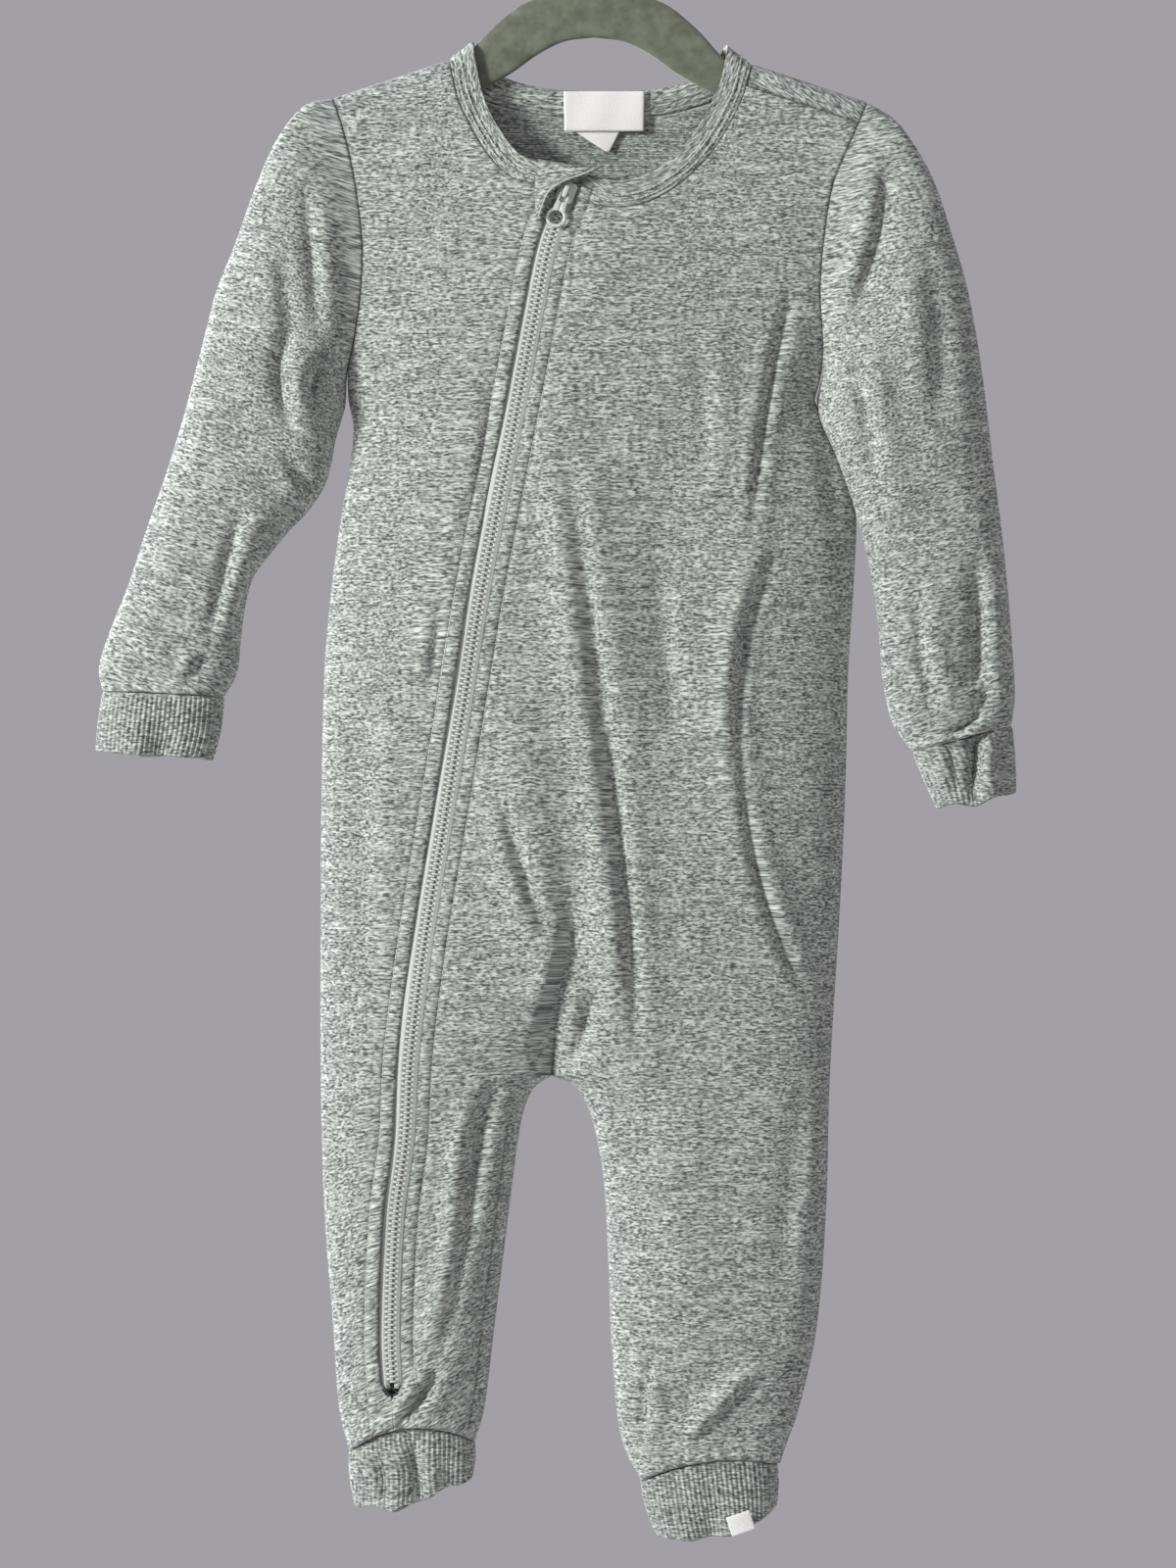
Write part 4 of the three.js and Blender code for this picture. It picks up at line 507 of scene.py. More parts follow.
class Cloth:
    """Grids of points that share their edges, made into one thin closed shell."""

    def __init__(self):
        self.grids = {name: [] for name in ("points", "places", "quads", "groove_shade", "swell", "flush")}
        self.count = 0

    def patch(self, points, places, groove_shade=None, swell=None, flush=None):
        """Places are the cloth's own, groove shade is painted shade that darkens the colour, a swell stands out, and a
        flush rim stays full.
        """
        shape = points.shape[:2]
        index = self.count + np.arange(shape[0] * shape[1]).reshape(shape)
        self.count += index.size
        quads = np.stack([index[:-1, :-1], index[1:, :-1], index[1:, 1:], index[:-1, 1:]], -1)
        for name, grid in (("points", points), ("places", places), ("quads", quads)):
            self.grids[name].append(grid.reshape(-1, grid.shape[-1]))
        for name, grid in (("groove_shade", groove_shade), ("swell", swell), ("flush", flush)):
            self.grids[name].append(np.zeros(index.size) if grid is None else grid.ravel())
        return self

    def build(self, name, finishes, outside, inside):
        """finishes are the materials of the outside and the inside."""
        points, places, quads, groove_shades, swells, flush = (np.concatenate(grid) for grid in self.grids.values())
        _, first, merged = np.unique(
            np.round(points, MERGE_DECIMALS), axis=0, return_index=True, return_inverse=True)
        own, faces = points[first], merged.ravel()[quads]
        count = len(own)
        normals = np.zeros((count, 3))
        across = np.cross(own[faces[:, 2]] - own[faces[:, 0]], own[faces[:, 3]] - own[faces[:, 1]])
        for corner in range(4):
            np.add.at(normals, faces[:, corner], across)
        normals[np.abs(own[:, 1]) < GAP, 1] = 0
        normals = unit(normals)
        sides = np.concatenate([faces[:, [n, (n + 1) % 4]] for n in range(4)])
        ordered = np.sort(sides, axis=1)
        _, back_to, uses = np.unique(ordered[:, 0] * count + ordered[:, 1], return_inverse=True, return_counts=True)
        rim = sides[uses[back_to.ravel()] == 1]
        on_rim, beside = np.zeros(count, bool), np.zeros(count, bool)
        on_rim[rim.ravel()] = True
        beside[faces[on_rim[faces].any(1)].ravel()] = True
        flush = flush[first]
        share = mix(np.where(on_rim, RIM_RISE, np.where(beside, BESIDE_RISE, 1.0)), 1.0, flush)
        # Painted shade: the rim and the row beside it are darkened where the seams sink in and shade falls
        rim_shade = np.where(on_rim, RIM_SHADE, np.where(beside, BESIDE_SHADE, 0)) * (1 - flush)
        groove_shade = np.maximum(groove_shades[first], rim_shade)
        rise = (outside + swells[first]) * share
        both = np.concatenate([own + normals * rise[:, None], own - normals * inside])
        rim_faces = np.stack([rim[:, 0], rim[:, 0] + count, rim[:, 1] + count, rim[:, 1]], 1)
        every = np.concatenate([faces, faces[:, ::-1] + count, rim_faces])
        corner_places = np.concatenate([places[quads], places[quads][:, ::-1], places[first][rim_faces % count]])
        parts = [len(faces), len(faces), len(rim_faces)]
        piece = mesh_object(name, both, every, finishes, np.repeat([0, 1, 0], parts), np.repeat([1, 1, 0], parts))
        own_place = piece.data.attributes.new("cloth", "FLOAT_VECTOR", "CORNER")
        vectors = np.zeros((corner_places.size // 2, 3))
        vectors[:, :2] = corner_places.reshape(-1, 2) * MM
        own_place.data.foreach_set("vector", vectors.ravel())
        # The groove shade attribute carries the painted shade that the materials multiply in
        depth = piece.data.attributes.new("groove_shade", "FLOAT", "POINT")
        depth.data.foreach_set("value", np.r_[groove_shade, groove_shade * 0])
        return piece


def mesh_object(name, points, quads, finishes, kinds=0, smooth=1):
    """An object from points in millimetres and four-sided faces, each of a kind of finish."""
    count = len(quads)
    mesh = bpy.data.meshes.new(name)
    mesh.vertices.add(len(points))
    mesh.vertices.foreach_set("co", (np.asarray(points) * MM).ravel())
    mesh.loops.add(quads.size)
    mesh.loops.foreach_set("vertex_index", quads.ravel().astype(np.int32))
    mesh.polygons.add(count)
    mesh.polygons.foreach_set("loop_start", np.arange(0, quads.size, 4, dtype=np.int32))
    mesh.polygons.foreach_set("material_index", np.full(count, kinds, np.int32))
    mesh.polygons.foreach_set("use_smooth", np.full(count, smooth, bool))
    mesh.update(calc_edges=True)
    piece = bpy.data.objects.new(name, mesh)
    bpy.context.scene.collection.objects.link(piece)
    for finish in finishes:
        mesh.materials.append(finish)
    return piece


def spread(width, start, end, middle):
    """Places across a width: fixed distances from both edges and even ones between."""
    width = np.atleast_1d(width)[:, None]
    start, end = np.array(start, float), np.array(end, float)
    even = mix(start[-1], width - end[-1], np.linspace(0, 1, middle + 2)[1:-1])
    return np.concatenate([np.broadcast_to(start, (len(width), len(start))), even, width - end[::-1]], axis=1)


# Columns of points near an edge: at a plain seam, beside the zip and at the inseam with its stitching
SEAM_EDGE = (0, EDGE_STEP, 1.6)
ZIP_EDGE = (0, 0.5, 1.4, 3.0, 4.4, 5.3, TOPSTITCH, 6.7, 7.8)
INSEAM_EDGE = (0, 0.6, 1.6, 3.2, 4.8, 5.5, 6.0, 6.5, 7.4)
SETTLE = 12
RIDGE_POINTS = 20


def ring(n):
    """Seam and free edge of the neckband at a place along it, counted in the table's rows."""
    rows = {"n": np.arange(NECK_LAST + 1, dtype=float)}
    for name in ("seam", "free"):
        rows[f"{name}_x"] = NECK[f"{name}_x"]
        rows[f"{name}_arc"] = NECK["side"] * arc_of(NECK[f"{name}_x"], NECK[f"{name}_drop"])
    return [curve(rows, "n", name)(n) for name in ("seam_x", "seam_arc", "free_x", "free_arc")]


def neck_seam(n):
    """Points of the neck seam, kept a seam's gap outside the band."""
    seam_x, seam_arc, free_x, free_arc = ring(n)
    gap = CURVED_GAP / np.hypot(seam_x - free_x, seam_arc - free_arc)
    return np.stack([seam_x + (seam_x - free_x) * gap, seam_arc + (seam_arc - free_arc) * gap], -1)


def armhole_place(side, arc):
    x = np.full(np.shape(arc), float(armhole[side](UNDERARM)))
    for _ in range(SETTLE):
        x = armhole[side](ridge(x) + fall_of(arc))
    return np.stack([x, np.broadcast_to(arc, x.shape)], -1)


def level_line(start, end, arc):
    """Places along a shoulder, at one distance from the ridge."""
    return np.stack([np.linspace(start, end, RIDGE_POINTS), np.full(RIDGE_POINTS, arc)], -1)


def beside_zip(drop, across):
    slope = zip_slope(drop)
    length = np.hypot(1, slope)
    return zip_x(drop) + across / length, drop - slope * across / length


def zip_opening(drop):
    closed = ease(clamp((drop - ZIP_END + ZIP_CLOSING / 2) / ZIP_CLOSING))
    return mix(ZIP_HALF_OPEN, SHUT / 2, closed)


def below_zip(points, drops):
    """Where the two fronts meet below the zip, their edges lie flush."""
    return clamp((drops - ZIP_END) / 4) * clamp(2 - np.abs(points[..., 0] - zip_x(drops)))


def by_length(path, corners):
    """Shares along a path, and the shares at some of its points."""
    length = np.r_[0, np.cumsum(np.hypot(*np.diff(path, axis=0).T))]
    return length / length[-1], [length[n] / length[-1] for n in corners]


def upper_rows(top_arc, roll):
    """Shares up from the underarm to the top of a panel, close together at the seam."""
    if roll:
        fine = [QUARTER, QUARTER * 0.8, QUARTER * 0.6, QUARTER * 0.4, QUARTER * 0.2, top_arc]
    else:
        fine = [top_arc + 1.6, top_arc + EDGE_STEP, top_arc]
    count = int((UPPER_ARC - fine[0]) / STEP)
    arcs = np.r_[np.linspace(UPPER_ARC, fine[0], count + 1)[:-1], fine]
    return (UPPER_ARC - arcs) / (UPPER_ARC - top_arc)


def upper_patch(side, up, columns, low, high, top, corners, left, right):
    """The part of a panel above the underarm, between its seams."""
    at_top, corner_shares = by_length(top, corners)
    width = (1 - up) * (high - low) + up * (right[-1, 0] - left[-1, 0])
    shares = columns(width) / width[:, None]
    nearest = [shares[-1][np.argmin(np.abs(shares[-1] - share))] for share in corner_shares]
    warped = np.interp(shares, [0, *nearest, 1], [0, *corner_shares, 1])
    u = shares + up[:, None] ** 2 * (warped - shares)
    t = up[:, None]
    bottom_x = mix(low, high, u)
    sign = 1 if side == "front" else -1
    found = []
    bottoms = (bottom_x, sign * arc_of(bottom_x, UNDERARM))
    ends = [(low, sign * arc_of(low, UNDERARM)), (high, sign * arc_of(high, UNDERARM))]
    for n in range(2):
        value = (1 - t) * bottoms[n] + t * np.interp(u, at_top, top[:, n])
        value = value + (1 - u) ** 3 * (left[:, n] - (1 - up) * ends[0][n] - up * top[0, n])[:, None]
        value = value + u ** 4 * (right[:, n] - (1 - up) * ends[1][n] - up * top[-1, n])[:, None]
        found.append(value)
    points = on_cloth(found[0], found[1])
    points[..., 1] = off_middle(points[..., 1], -sign)
    drops = np.abs(found[1]) + ridge(found[0]) - QUARTER + ROLL
    return points[::-1], drops[::-1]


def off_middle(y, sign):
    """Keeps cloth half a seam's gap from the middle plane, where the other side's cloth meets it."""
    return np.where(np.abs(y) < GAP / 2, sign * GAP / 2, y)


def panel_row(side, x, drop):
    sign = -1 if side == "front" else 1
    y = off_middle(depth_at(side, x, drop) * sign, sign)
    return np.stack(np.broadcast_arrays(x, y, NECK_Z - drop), -1)


# The knit's courses lean on the right leg, about LEAN_X and fading out towards the left leg
LEAN_TOP = 430
LEAN_END = 640
LEAN = 0.5
LEAN_X = -85
LEAN_OUT = (-40, 50)
SIDE_ARC = 0.8


def cloth_places(points, drops):
    """Where the knit's courses run: across along each row, and down."""
    lean = LEAN * ease(clamp((drops - LEAN_TOP) / (LEAN_END - LEAN_TOP)))
    x = points[..., 0]
    lean = lean * (1 - ease(clamp((x - LEAN_OUT[0]) / LEAN_OUT[1])))
    depth = np.abs(points[..., 1])
    middle, half = (x[:, -1:] + x[:, :1]) / 2, (x[:, -1:] - x[:, :1]) / 2
    round_sides = SIDE_ARC * (depth.max(axis=1, keepdims=True) - depth) * np.tanh(4 * (x - middle) / half)
    return np.stack([x + round_sides, drops + lean * (x - LEAN_X)], -1)


LEG_ROWS = 58
LEG_POWER = 1.4
HEM = 660


def trunk_drops():
    return np.linspace(UNDERARM, CROTCH, int((CROTCH - UNDERARM) / STEP) + 1)


def trunk_patch(side, x, first):
    """Straight rows from the underarm to the crotch, below a first row that is given."""
    drops = np.broadcast_to(trunk_drops()[:, None], x.shape)
    points = panel_row(side, x, drops)
    points[0] = first
    return points, drops


def beside_each_other(first, second, share):
    """Columns of two parts of a panel, the first of which takes a share of the width."""
    return lambda width: np.concatenate(
        [first(width * share), (width * share)[:, None] + second(width * (1 - share))[:, 1:]], axis=1)


def from_edge_to_edge(first, second, start, centre, end):
    """Places of two parts of a panel that meet at the centre, row by row."""
    return np.concatenate([start[:, None] + first(centre - start), centre[:, None] + second(end - centre)[:, 1:]], 1)


def hem_parts():
    length = HEM - LEG_STRAIGHT
    even = np.arange(STEP, length - 2, STEP) / length
    return np.r_[even, 1 - 1.6 / length, 1 - EDGE_STEP / length, 1]


def ankle_seam(cuff, share):
    hump = 4 * share * (1 - share) * cuff["sag"][0]
    return mix(cuff["out_drop"][0], cuff["in_drop"][0], share) + hump - CURVED_GAP


def leg_patch(side, edges, columns, cuff, is_left, first):
    """Straight rows of a leg, then rows that turn into the ankle seam."""
    drops = mix(CROTCH, LEG_STRAIGHT, np.linspace(0, 1, LEG_ROWS) ** LEG_POWER)
    start, end = edges(drops)
    x = np.asarray(start)[:, None] + columns(end - start)
    straight = panel_row(side, x, drops[:, None])
    straight[0] = first
    outer, inner = (side_left, inseam_left) if is_left else (side_right, inseam_right)

    def place(at):
        start, end = edges(at)
        return start + np.diagonal(columns(end - start))

    ends = np.full(x.shape[1], cuff["out_drop"][0])
    for _ in range(SETTLE):
        share = (place(ends) - outer(ends)) / (inner(ends) - outer(ends))
        ends = ankle_seam(cuff, clamp(share))
    rows, row_drops = [], []
    for part in hem_parts():
        at = mix(LEG_STRAIGHT, ends, part)
        row = panel_row(side, place(at), at)
        row[:, 1] += gathers(row[:, 0], ends - at, row[:, 1])
        rows.append(row)
        row_drops.append(at)
    points = np.concatenate([straight, np.stack(rows)])
    return points, np.concatenate([np.broadcast_to(drops[:, None], x.shape), np.stack(row_drops)])


# Heights of the blouse and the puckers over a rib, how far above its seam, and how full the cloth has to be
BLOUSE = {"high": 1.6, "uneven": 0.5, "length": 6.3, "above": 2.6, "wide": 2.8}
PUCKER = {"high": 0.45, "length": 1.15, "drift": 7, "fade": 6}
GATHER_FULL = 7


def gathers(x, above, y):
    """How the cloth blouses and puckers where it is sewn into a rib."""
    high = BLOUSE["high"] + BLOUSE["uneven"] * np.sin(x / BLOUSE["length"])
    wave = np.sin(x / PUCKER["length"] + np.sin(x / PUCKER["drift"]))
    pucker = PUCKER["high"] * wave * np.exp(-above / PUCKER["fade"])
    blouse = high * bump(above, BLOUSE["above"], BLOUSE["wide"])
    return (blouse + pucker) * clamp(np.abs(y) / GATHER_FULL) * np.sign(y)


# Columns between the edges of each part of a panel, points along its neckline, and half a seam's gap
FRONT_RIGHT_COLUMNS = 34
FRONT_LEFT_COLUMNS = (26, 50)
BACK_COLUMNS = (36, 48)
NECK_POINTS = {"front_right": 120, "front_left": 140, "back": 160}
HALF_GAP = GAP / 2
SHOULDER_SEAM = float(arc_of(NECK_HALF, ridge(NECK_HALF) + SHOULDER_FORWARD))


def add_front(cloth, points, drops, groove_shade=0.0, flush=None):
    cloth.patch(points, cloth_places(points, drops), np.maximum(zip_stitch_shade(points, drops), groove_shade), flush=flush)


def front_right():
    columns = lambda width: spread(width, SEAM_EDGE, ZIP_EDGE, FRONT_RIGHT_COLUMNS)
    edges = lambda drop: (side_left(drop), beside_zip(drop, -zip_opening(drop))[0])
    low, high = edges(UNDERARM)
    up = upper_rows(HALF_GAP, True)
    neckline = neck_seam(np.linspace(RIGHT_RIDGE, 0, NECK_POINTS["front_right"]))
    top = np.concatenate([level_line(ARMHOLE["left"][0], neck_seam(RIGHT_RIDGE)[0], HALF_GAP), neckline[2:]])
    left = armhole_place("left", mix(arc_of(low, UNDERARM), HALF_GAP, up))
    right = zip_edge(up, top[-1], -ZIP_HALF_OPEN)
    points, drops = upper_patch("front", up, columns, low, high, top, [RIDGE_POINTS - 1], left, right)
    cloth = Cloth()
    add_front(cloth, points, drops)
    start, end = edges(trunk_drops())
    trunk, drops = trunk_patch("front", start[:, None] + columns(end - start), points[-1])
    add_front(cloth, trunk, drops)
    leg, drops = leg_patch("front", edges, columns, ANKLE_RIGHT, True, trunk[-1])
    add_front(cloth, leg, drops, flush=below_zip(leg, drops))
    return cloth


def zip_stitch_shade(points, drops):
    """Painted shade along the sunk topstitching beside the zip."""
    away, stitched = from_zip(points[..., 0], drops)
    return ZIP_STITCH_SHADE * bump(away, TOPSTITCH, LINE_WIDTH) * stitched


def zip_edge(up, corner, across):
    """A panel's edge beside the zip, from the underarm up to its corner at the neck."""
    drop = mix(UNDERARM, ridge(corner[0]) + fall_of(corner[1]), up)
    at_corner = ease(clamp((up - ZIP_CORNER) / (1 - ZIP_CORNER)))
    x = mix(beside_zip(drop, across)[0], corner[0], at_corner)
    return np.stack([x, arc_of(x, drop)], -1)


# Heights between which the inseam is stitched, how it fades at both, and the ticks beside its stitching
INSEAM_SHOWN = (CROTCH + 12, 646)
INSEAM_FADE = (14, 8)
TICKS = {"away": 3.5, "wide": 2.0, "high": 0.25, "pitch": 3.4}


def inseam_stitches(from_edge, drops):
    """A sunk line of stitching beside the inseam, and the ticks that its threads pull."""
    (first, last), (in_first, in_last) = INSEAM_SHOWN, INSEAM_FADE
    shown = clamp((drops - first) / in_first) * clamp((last - drops) / in_last)
    ticks = TICKS["high"] * bump(from_edge, TICKS["away"], TICKS["wide"]) * shown
    return bump(from_edge, TOPSTITCH, LINE_WIDTH) * shown, ticks * np.sin(drops * 2 * math.pi / TICKS["pitch"])


def front_left():
    inner_count, outer_count = FRONT_LEFT_COLUMNS
    inner = lambda width: spread(width, ZIP_EDGE, INSEAM_EDGE, inner_count)
    outer = lambda width: spread(width, SEAM_EDGE, SEAM_EDGE, outer_count)
    zip_side = lambda drop: beside_zip(drop, zip_opening(drop))[0]
    low, middle, high = zip_side(UNDERARM), float(middle_x(np.array(UNDERARM))), float(side_right(UNDERARM))
    columns = beside_each_other(inner, outer, (middle - low) / (high - low))
    seam = SHOULDER_SEAM + HALF_GAP
    up = upper_rows(seam, False)
    neckline = neck_seam(np.linspace(NECK_LAST, LEFT_SEAM, NECK_POINTS["front_left"]))
    neckline[-1, 1] = seam
    shoulder = level_line(neckline[-1, 0], armhole_place("right", np.array(seam))[0], seam)
    top = np.concatenate([neckline, shoulder[1:]])
    left = zip_edge(up, top[0], ZIP_HALF_OPEN)
    right = armhole_place("right", mix(arc_of(high, UNDERARM), seam, up))
    points, drops = upper_patch("front", up, columns, low, high, top, [len(neckline) - 1], left, right)
    cloth = Cloth()
    add_front(cloth, points, drops)
    rows = trunk_drops()
    x = from_edge_to_edge(inner, outer, zip_side(rows), middle_x(rows), side_right(rows))
    trunk, drops = trunk_patch("front", x, points[-1])
    add_front(cloth, trunk, drops)
    split = len(ZIP_EDGE) + inner_count + len(INSEAM_EDGE) - 1
    right_edges = lambda drop: (zip_side(drop), inseam_left(drop))
    left_edges = lambda drop: (inseam_right(drop), side_right(drop))
    leg, drops = leg_patch("front", right_edges, inner, ANKLE_RIGHT, True, trunk[-1, :split + 1])
    line, ticks = inseam_stitches(inseam_left(drops) - leg[..., 0], drops)
    leg[..., 1] += INSEAM_DIP * line
    leg[..., 1] -= ticks
    # Painted shade darkens the sunk inseam stitch line
    add_front(cloth, leg, drops, INSEAM_STITCH_SHADE * line, below_zip(leg, drops))
    leg, drops = leg_patch("front", left_edges, outer, ANKLE_LEFT, False, trunk[-1, split:])
    return cloth.patch(leg, cloth_places(leg, drops))


def back():
    right_count, left_count = BACK_COLUMNS
    right_columns = lambda width: spread(width, SEAM_EDGE, SEAM_EDGE, right_count)
    left_columns = lambda width: spread(width, SEAM_EDGE, SEAM_EDGE, left_count)
    low, high = float(side_left(UNDERARM)), float(side_right(UNDERARM))
    share = (CROTCH_X - side_left(CROTCH)) / (side_right(CROTCH) - side_left(CROTCH))
    columns = beside_each_other(right_columns, left_columns, share)
    up = upper_rows(HALF_GAP, True)
    right_neck, left_neck = neck_seam(RIGHT_RIDGE)[0], neck_seam(LEFT_RIDGE)[0]
    right_tip, left_tip = (armhole_place(arm, np.array(0.0))[0] for arm in ("left", "right"))
    neckline = neck_seam(np.linspace(RIGHT_RIDGE, LEFT_RIDGE, NECK_POINTS["back"]))
    neckline[0], neckline[-1] = (right_neck, -HALF_GAP), (left_neck, -HALF_GAP)
    rights = level_line(right_tip, right_neck, -HALF_GAP)
    lefts = level_line(left_neck, left_tip, -HALF_GAP)
    top = np.concatenate([rights[:-1], neckline, lefts[1:]])
    corners = [RIDGE_POINTS - 1, RIDGE_POINTS - 2 + len(neckline)]
    left, right = (armhole_place(arm, mix(-arc_of(at, UNDERARM), -HALF_GAP, up))
                   for arm, at in (("left", low), ("right", high)))
    points, drops = upper_patch("back", up, columns, low, high, top, corners, left, right)
    cloth = Cloth()
    add = lambda grid, at: cloth.patch(grid[:, ::-1], cloth_places(grid, at)[:, ::-1])
    add(points, drops)
    add(*shoulder_lap(points[0], left_neck, left_tip))
    rows = trunk_drops()
    start, end = side_left(rows), side_right(rows)
    centre = mix(mix(start, end, share), middle_x(rows), ease(clamp((rows - UNDERARM) / (CROTCH - UNDERARM))))
    x = from_edge_to_edge(right_columns, left_columns, start, centre, end)
    trunk, drops = trunk_patch("back", x, points[-1])
    add(trunk, drops)
    split = right_count + 2 * len(SEAM_EDGE) - 1
    right_edges = lambda drop: (side_left(drop), inseam_left(drop))
    left_edges = lambda drop: (inseam_right(drop), side_right(drop))
    add(*leg_patch("back", right_edges, right_columns, ANKLE_RIGHT, True, trunk[-1, :split + 1]))
    add(*leg_patch("back", left_edges, left_columns, ANKLE_LEFT, False, trunk[-1, split:]))
    return cloth


def shoulder_lap(ridge_points, left_neck, left_tip):
    """The back's cloth runs over the left shoulder ridge to the seam in front of it."""
    from_neck = np.abs(ridge_points[:, 0] - left_neck) + 1e3 * (ridge_points[:, 0] < 0)
    ridge_row = ridge_points[int(np.argmin(from_neck)):]
    along_seam = (ridge_row[:, 0] - left_neck) / (left_tip - left_neck)
    seam = SHOULDER_SEAM - HALF_GAP
    arcs = np.r_[seam, seam - EDGE_STEP, np.linspace(seam - 1.8, QUARTER * 0.2, 9)]
    starts = mix(left_neck, neck_seam(LEFT_SEAM)[0], arcs / seam)
    tips = np.array([armhole_place("right", np.array(arc))[0] for arc in arcs])
    lap_x = mix(starts[:, None], tips[:, None], along_seam)
    lap_arc = arcs[:, None] * np.ones_like(lap_x)
    points = np.concatenate([on_cloth(lap_x, lap_arc), ridge_row[None]])
    return points, np.concatenate([ridge(lap_x) - lap_arc, ridge(ridge_row[:, 0])[None]])


# How far a sleeve's head follows the armhole, and the same creases behind, weaker and shifted
BOW_FADE = 0.4
UNDERARM_POWER = 6
BEHIND = 0.8
BEHIND_SHIFT = (5, -12)
# Where a tube is full enough to crumple, and how much closer together its slow waves are than the body's
TUBE_FROM = 0.2
TUBE_FULL = 0.4
TUBE_WAVES = 1.3


def tube_grid(rows, steps, loop, arm_side=None, creases=None):
    """A round-edged flat tube through a table of sections, opened along its inner edge."""
    read = readers(rows)
    t = np.asarray(steps)[:, None]
    angle = np.linspace(math.pi, 3 * math.pi, loop + 1)[None, :]
    share = (1 - np.cos(angle)) / 2
    front = np.where(np.sin(angle) >= 0, 1.0, -1.0)

    def plain(at):
        hump = 4 * share * (1 - share) * read["sag"](at)
        thick = -read["depth"](at) * rounding(np.cos(angle), 0.5) * front
        x = mix(read["out_x"](at), read["in_x"](at), share)
        drop = mix(read["out_drop"](at), read["in_drop"](at), share) + hump
        return np.stack(np.broadcast_arrays(x, thick - read["ahead"](at), -drop), -1)

    points = plain(t)
    if arm_side:
        drop = mix(rows["out_drop"][0], rows["in_drop"][0], share)
        edge = armhole[arm_side](drop)
        outside = -1 if arm_side == "left" else 1
        underarm = abs(rows["in_x"][0] - armhole[arm_side](rows["in_drop"][0]))
        at = np.maximum(drop, ridge(edge))
        y = np.where(front > 0, -depth_at("front", edge, at), depth_at("back", edge, at))
        y = np.where((share > 0.999) | (share < 0.001), 0, y)
        x = edge + outside * mix(CURVED_GAP, underarm, share ** UNDERARM_POWER)
        fitted = np.stack([x, y, -drop], -1)
        bow = clamp(1 - t / BOW_FADE) ** 2
        points = points + (fitted - plain(np.zeros((1, 1)))) * bow[..., None]
    x, drop = points[..., 0], -points[..., 2]
    room = ease(clamp((rounding(np.cos(angle), 0.5) - TUBE_FROM) / TUBE_FULL)) * clamp(t * 12)
    lift = waves_at(x * TUBE_WAVES + 40 * (front < 0), drop)
    if creases:
        behind = BEHIND * creases_at(creases, x + BEHIND_SHIFT[0], drop + BEHIND_SHIFT[1])
        lift = lift + SLEEVE_DEPTH * np.where(front > 0, creases_at(creases, x, drop), behind)
    points[..., 1] -= lift * room * front
    points[..., 2] += NECK_Z
    points[:, -1] = points[:, 0]
    return points, front


def tube_places(points, axis):
    """Round the tube along each row, and down along the sleeve's axis."""
    round_it = lengths(points)
    round_it -= round_it[:, -1:] / 2
    return np.stack([round_it, (points[..., 0] * axis[0] - points[..., 2] * axis[1]) / math.hypot(*axis)], -1)


def lengths(points):
    """Distance along each row of a grid."""
    steps = np.linalg.norm(np.diff(points, axis=1), axis=-1)
    return np.concatenate([np.zeros((len(points), 1)), np.cumsum(steps, axis=1)], axis=1)


def tube_cloth(rows, points, places, *marks):
    """A tube's rows all run the same way round, so that its outside faces out."""
    order = slice(None) if rows["out_x"][0] < rows["in_x"][0] else slice(None, None, -1)
    return Cloth().patch(points[:, order], places[:, order], *(mark[:, order] for mark in marks))


SLEEVE_LONG = 250
SLEEVE_ROUND = 84
GATHER_DEPTH = 8.0


def sleeve(rows, arm_side, axis, creases):
    even = np.linspace(0.012, 0.988, int(SLEEVE_LONG / STEP))
    steps = np.r_[0, 0.002, 0.006, even, 0.994, 0.998, 1]
    points, front = tube_grid(rows, steps, SLEEVE_ROUND, arm_side, creases)
    above = (1 - steps[:, None]) * SLEEVE_LONG
    from_sides = rounding(np.linspace(-1, 1, SLEEVE_ROUND + 1) * 2 % 2 - 1, 0.5)
    points[..., 1] -= gathers(points[..., 0], above, GATHER_DEPTH) * front * from_sides
    return tube_cloth(rows, points, tube_places(points, axis))


# Ribs of a cuff, and the waves of its hem: height, length over two pi, and how often the seed counts
RIB_PITCH = 1.9
RIB_HIGH = 0.28
RIB_POINTS = 8
SEAM_FLUSH = 0.6
FLUTES = ((1.5, 5.3, 1), (0.9, 2.9, 2))
HEM_WAVES = ((1.1, 5.2, 1), (0.7, 2.6, 3))


def cuff(rows, seed, creases=None, hem=1.0):
    """A rib-knit cuff: fine ribs round it, the hem folded and slightly fluted."""
    width = math.hypot(rows["out_x"][1] - rows["in_x"][1], rows["out_drop"][1] - rows["in_drop"][1])
    ribs = int(2.1 * width / RIB_PITCH)
    loop = ribs * RIB_POINTS
    steps = np.r_[0, 0.02, 0.05, np.linspace(0.1, 0.93, 14), 0.97, 0.99, 1]
    points, _ = tube_grid(rows, steps, loop, creases=creases)
    down = steps[:, None]
    across = points[..., 0]
    swing = lambda waves: sum(high * np.sin(across / long + times * seed) for high, long, times in waves)
    from_sides = np.abs(np.linspace(0, 1, loop + 1) % 0.5 - 0.25) * 4
    points[..., 1] += swing(FLUTES) * down ** 2 * (1 - from_sides ** 6)
    points[..., 2] += hem * swing(HEM_WAVES) * down ** 3
    round_it = lengths(points)
    wave = np.cos(round_it / round_it[:, -1:] * ribs * 2 * math.pi)
    soft = clamp(down / 0.06) * clamp((1 - down) / 0.05)
    # Painted shade darkens the valleys between the ribs, unevenly round the cuff
    groove_shade = (0.3 + 0.2 * np.sin(across / 7.0 + seed)) * clamp(-wave) * soft
    flush = SEAM_FLUSH * (down < 0.03) * np.ones_like(wave)
    return tube_cloth(rows, points, tube_places(points, (0.0, 1.0)), groove_shade, RIB_HIGH * wave * soft, flush)


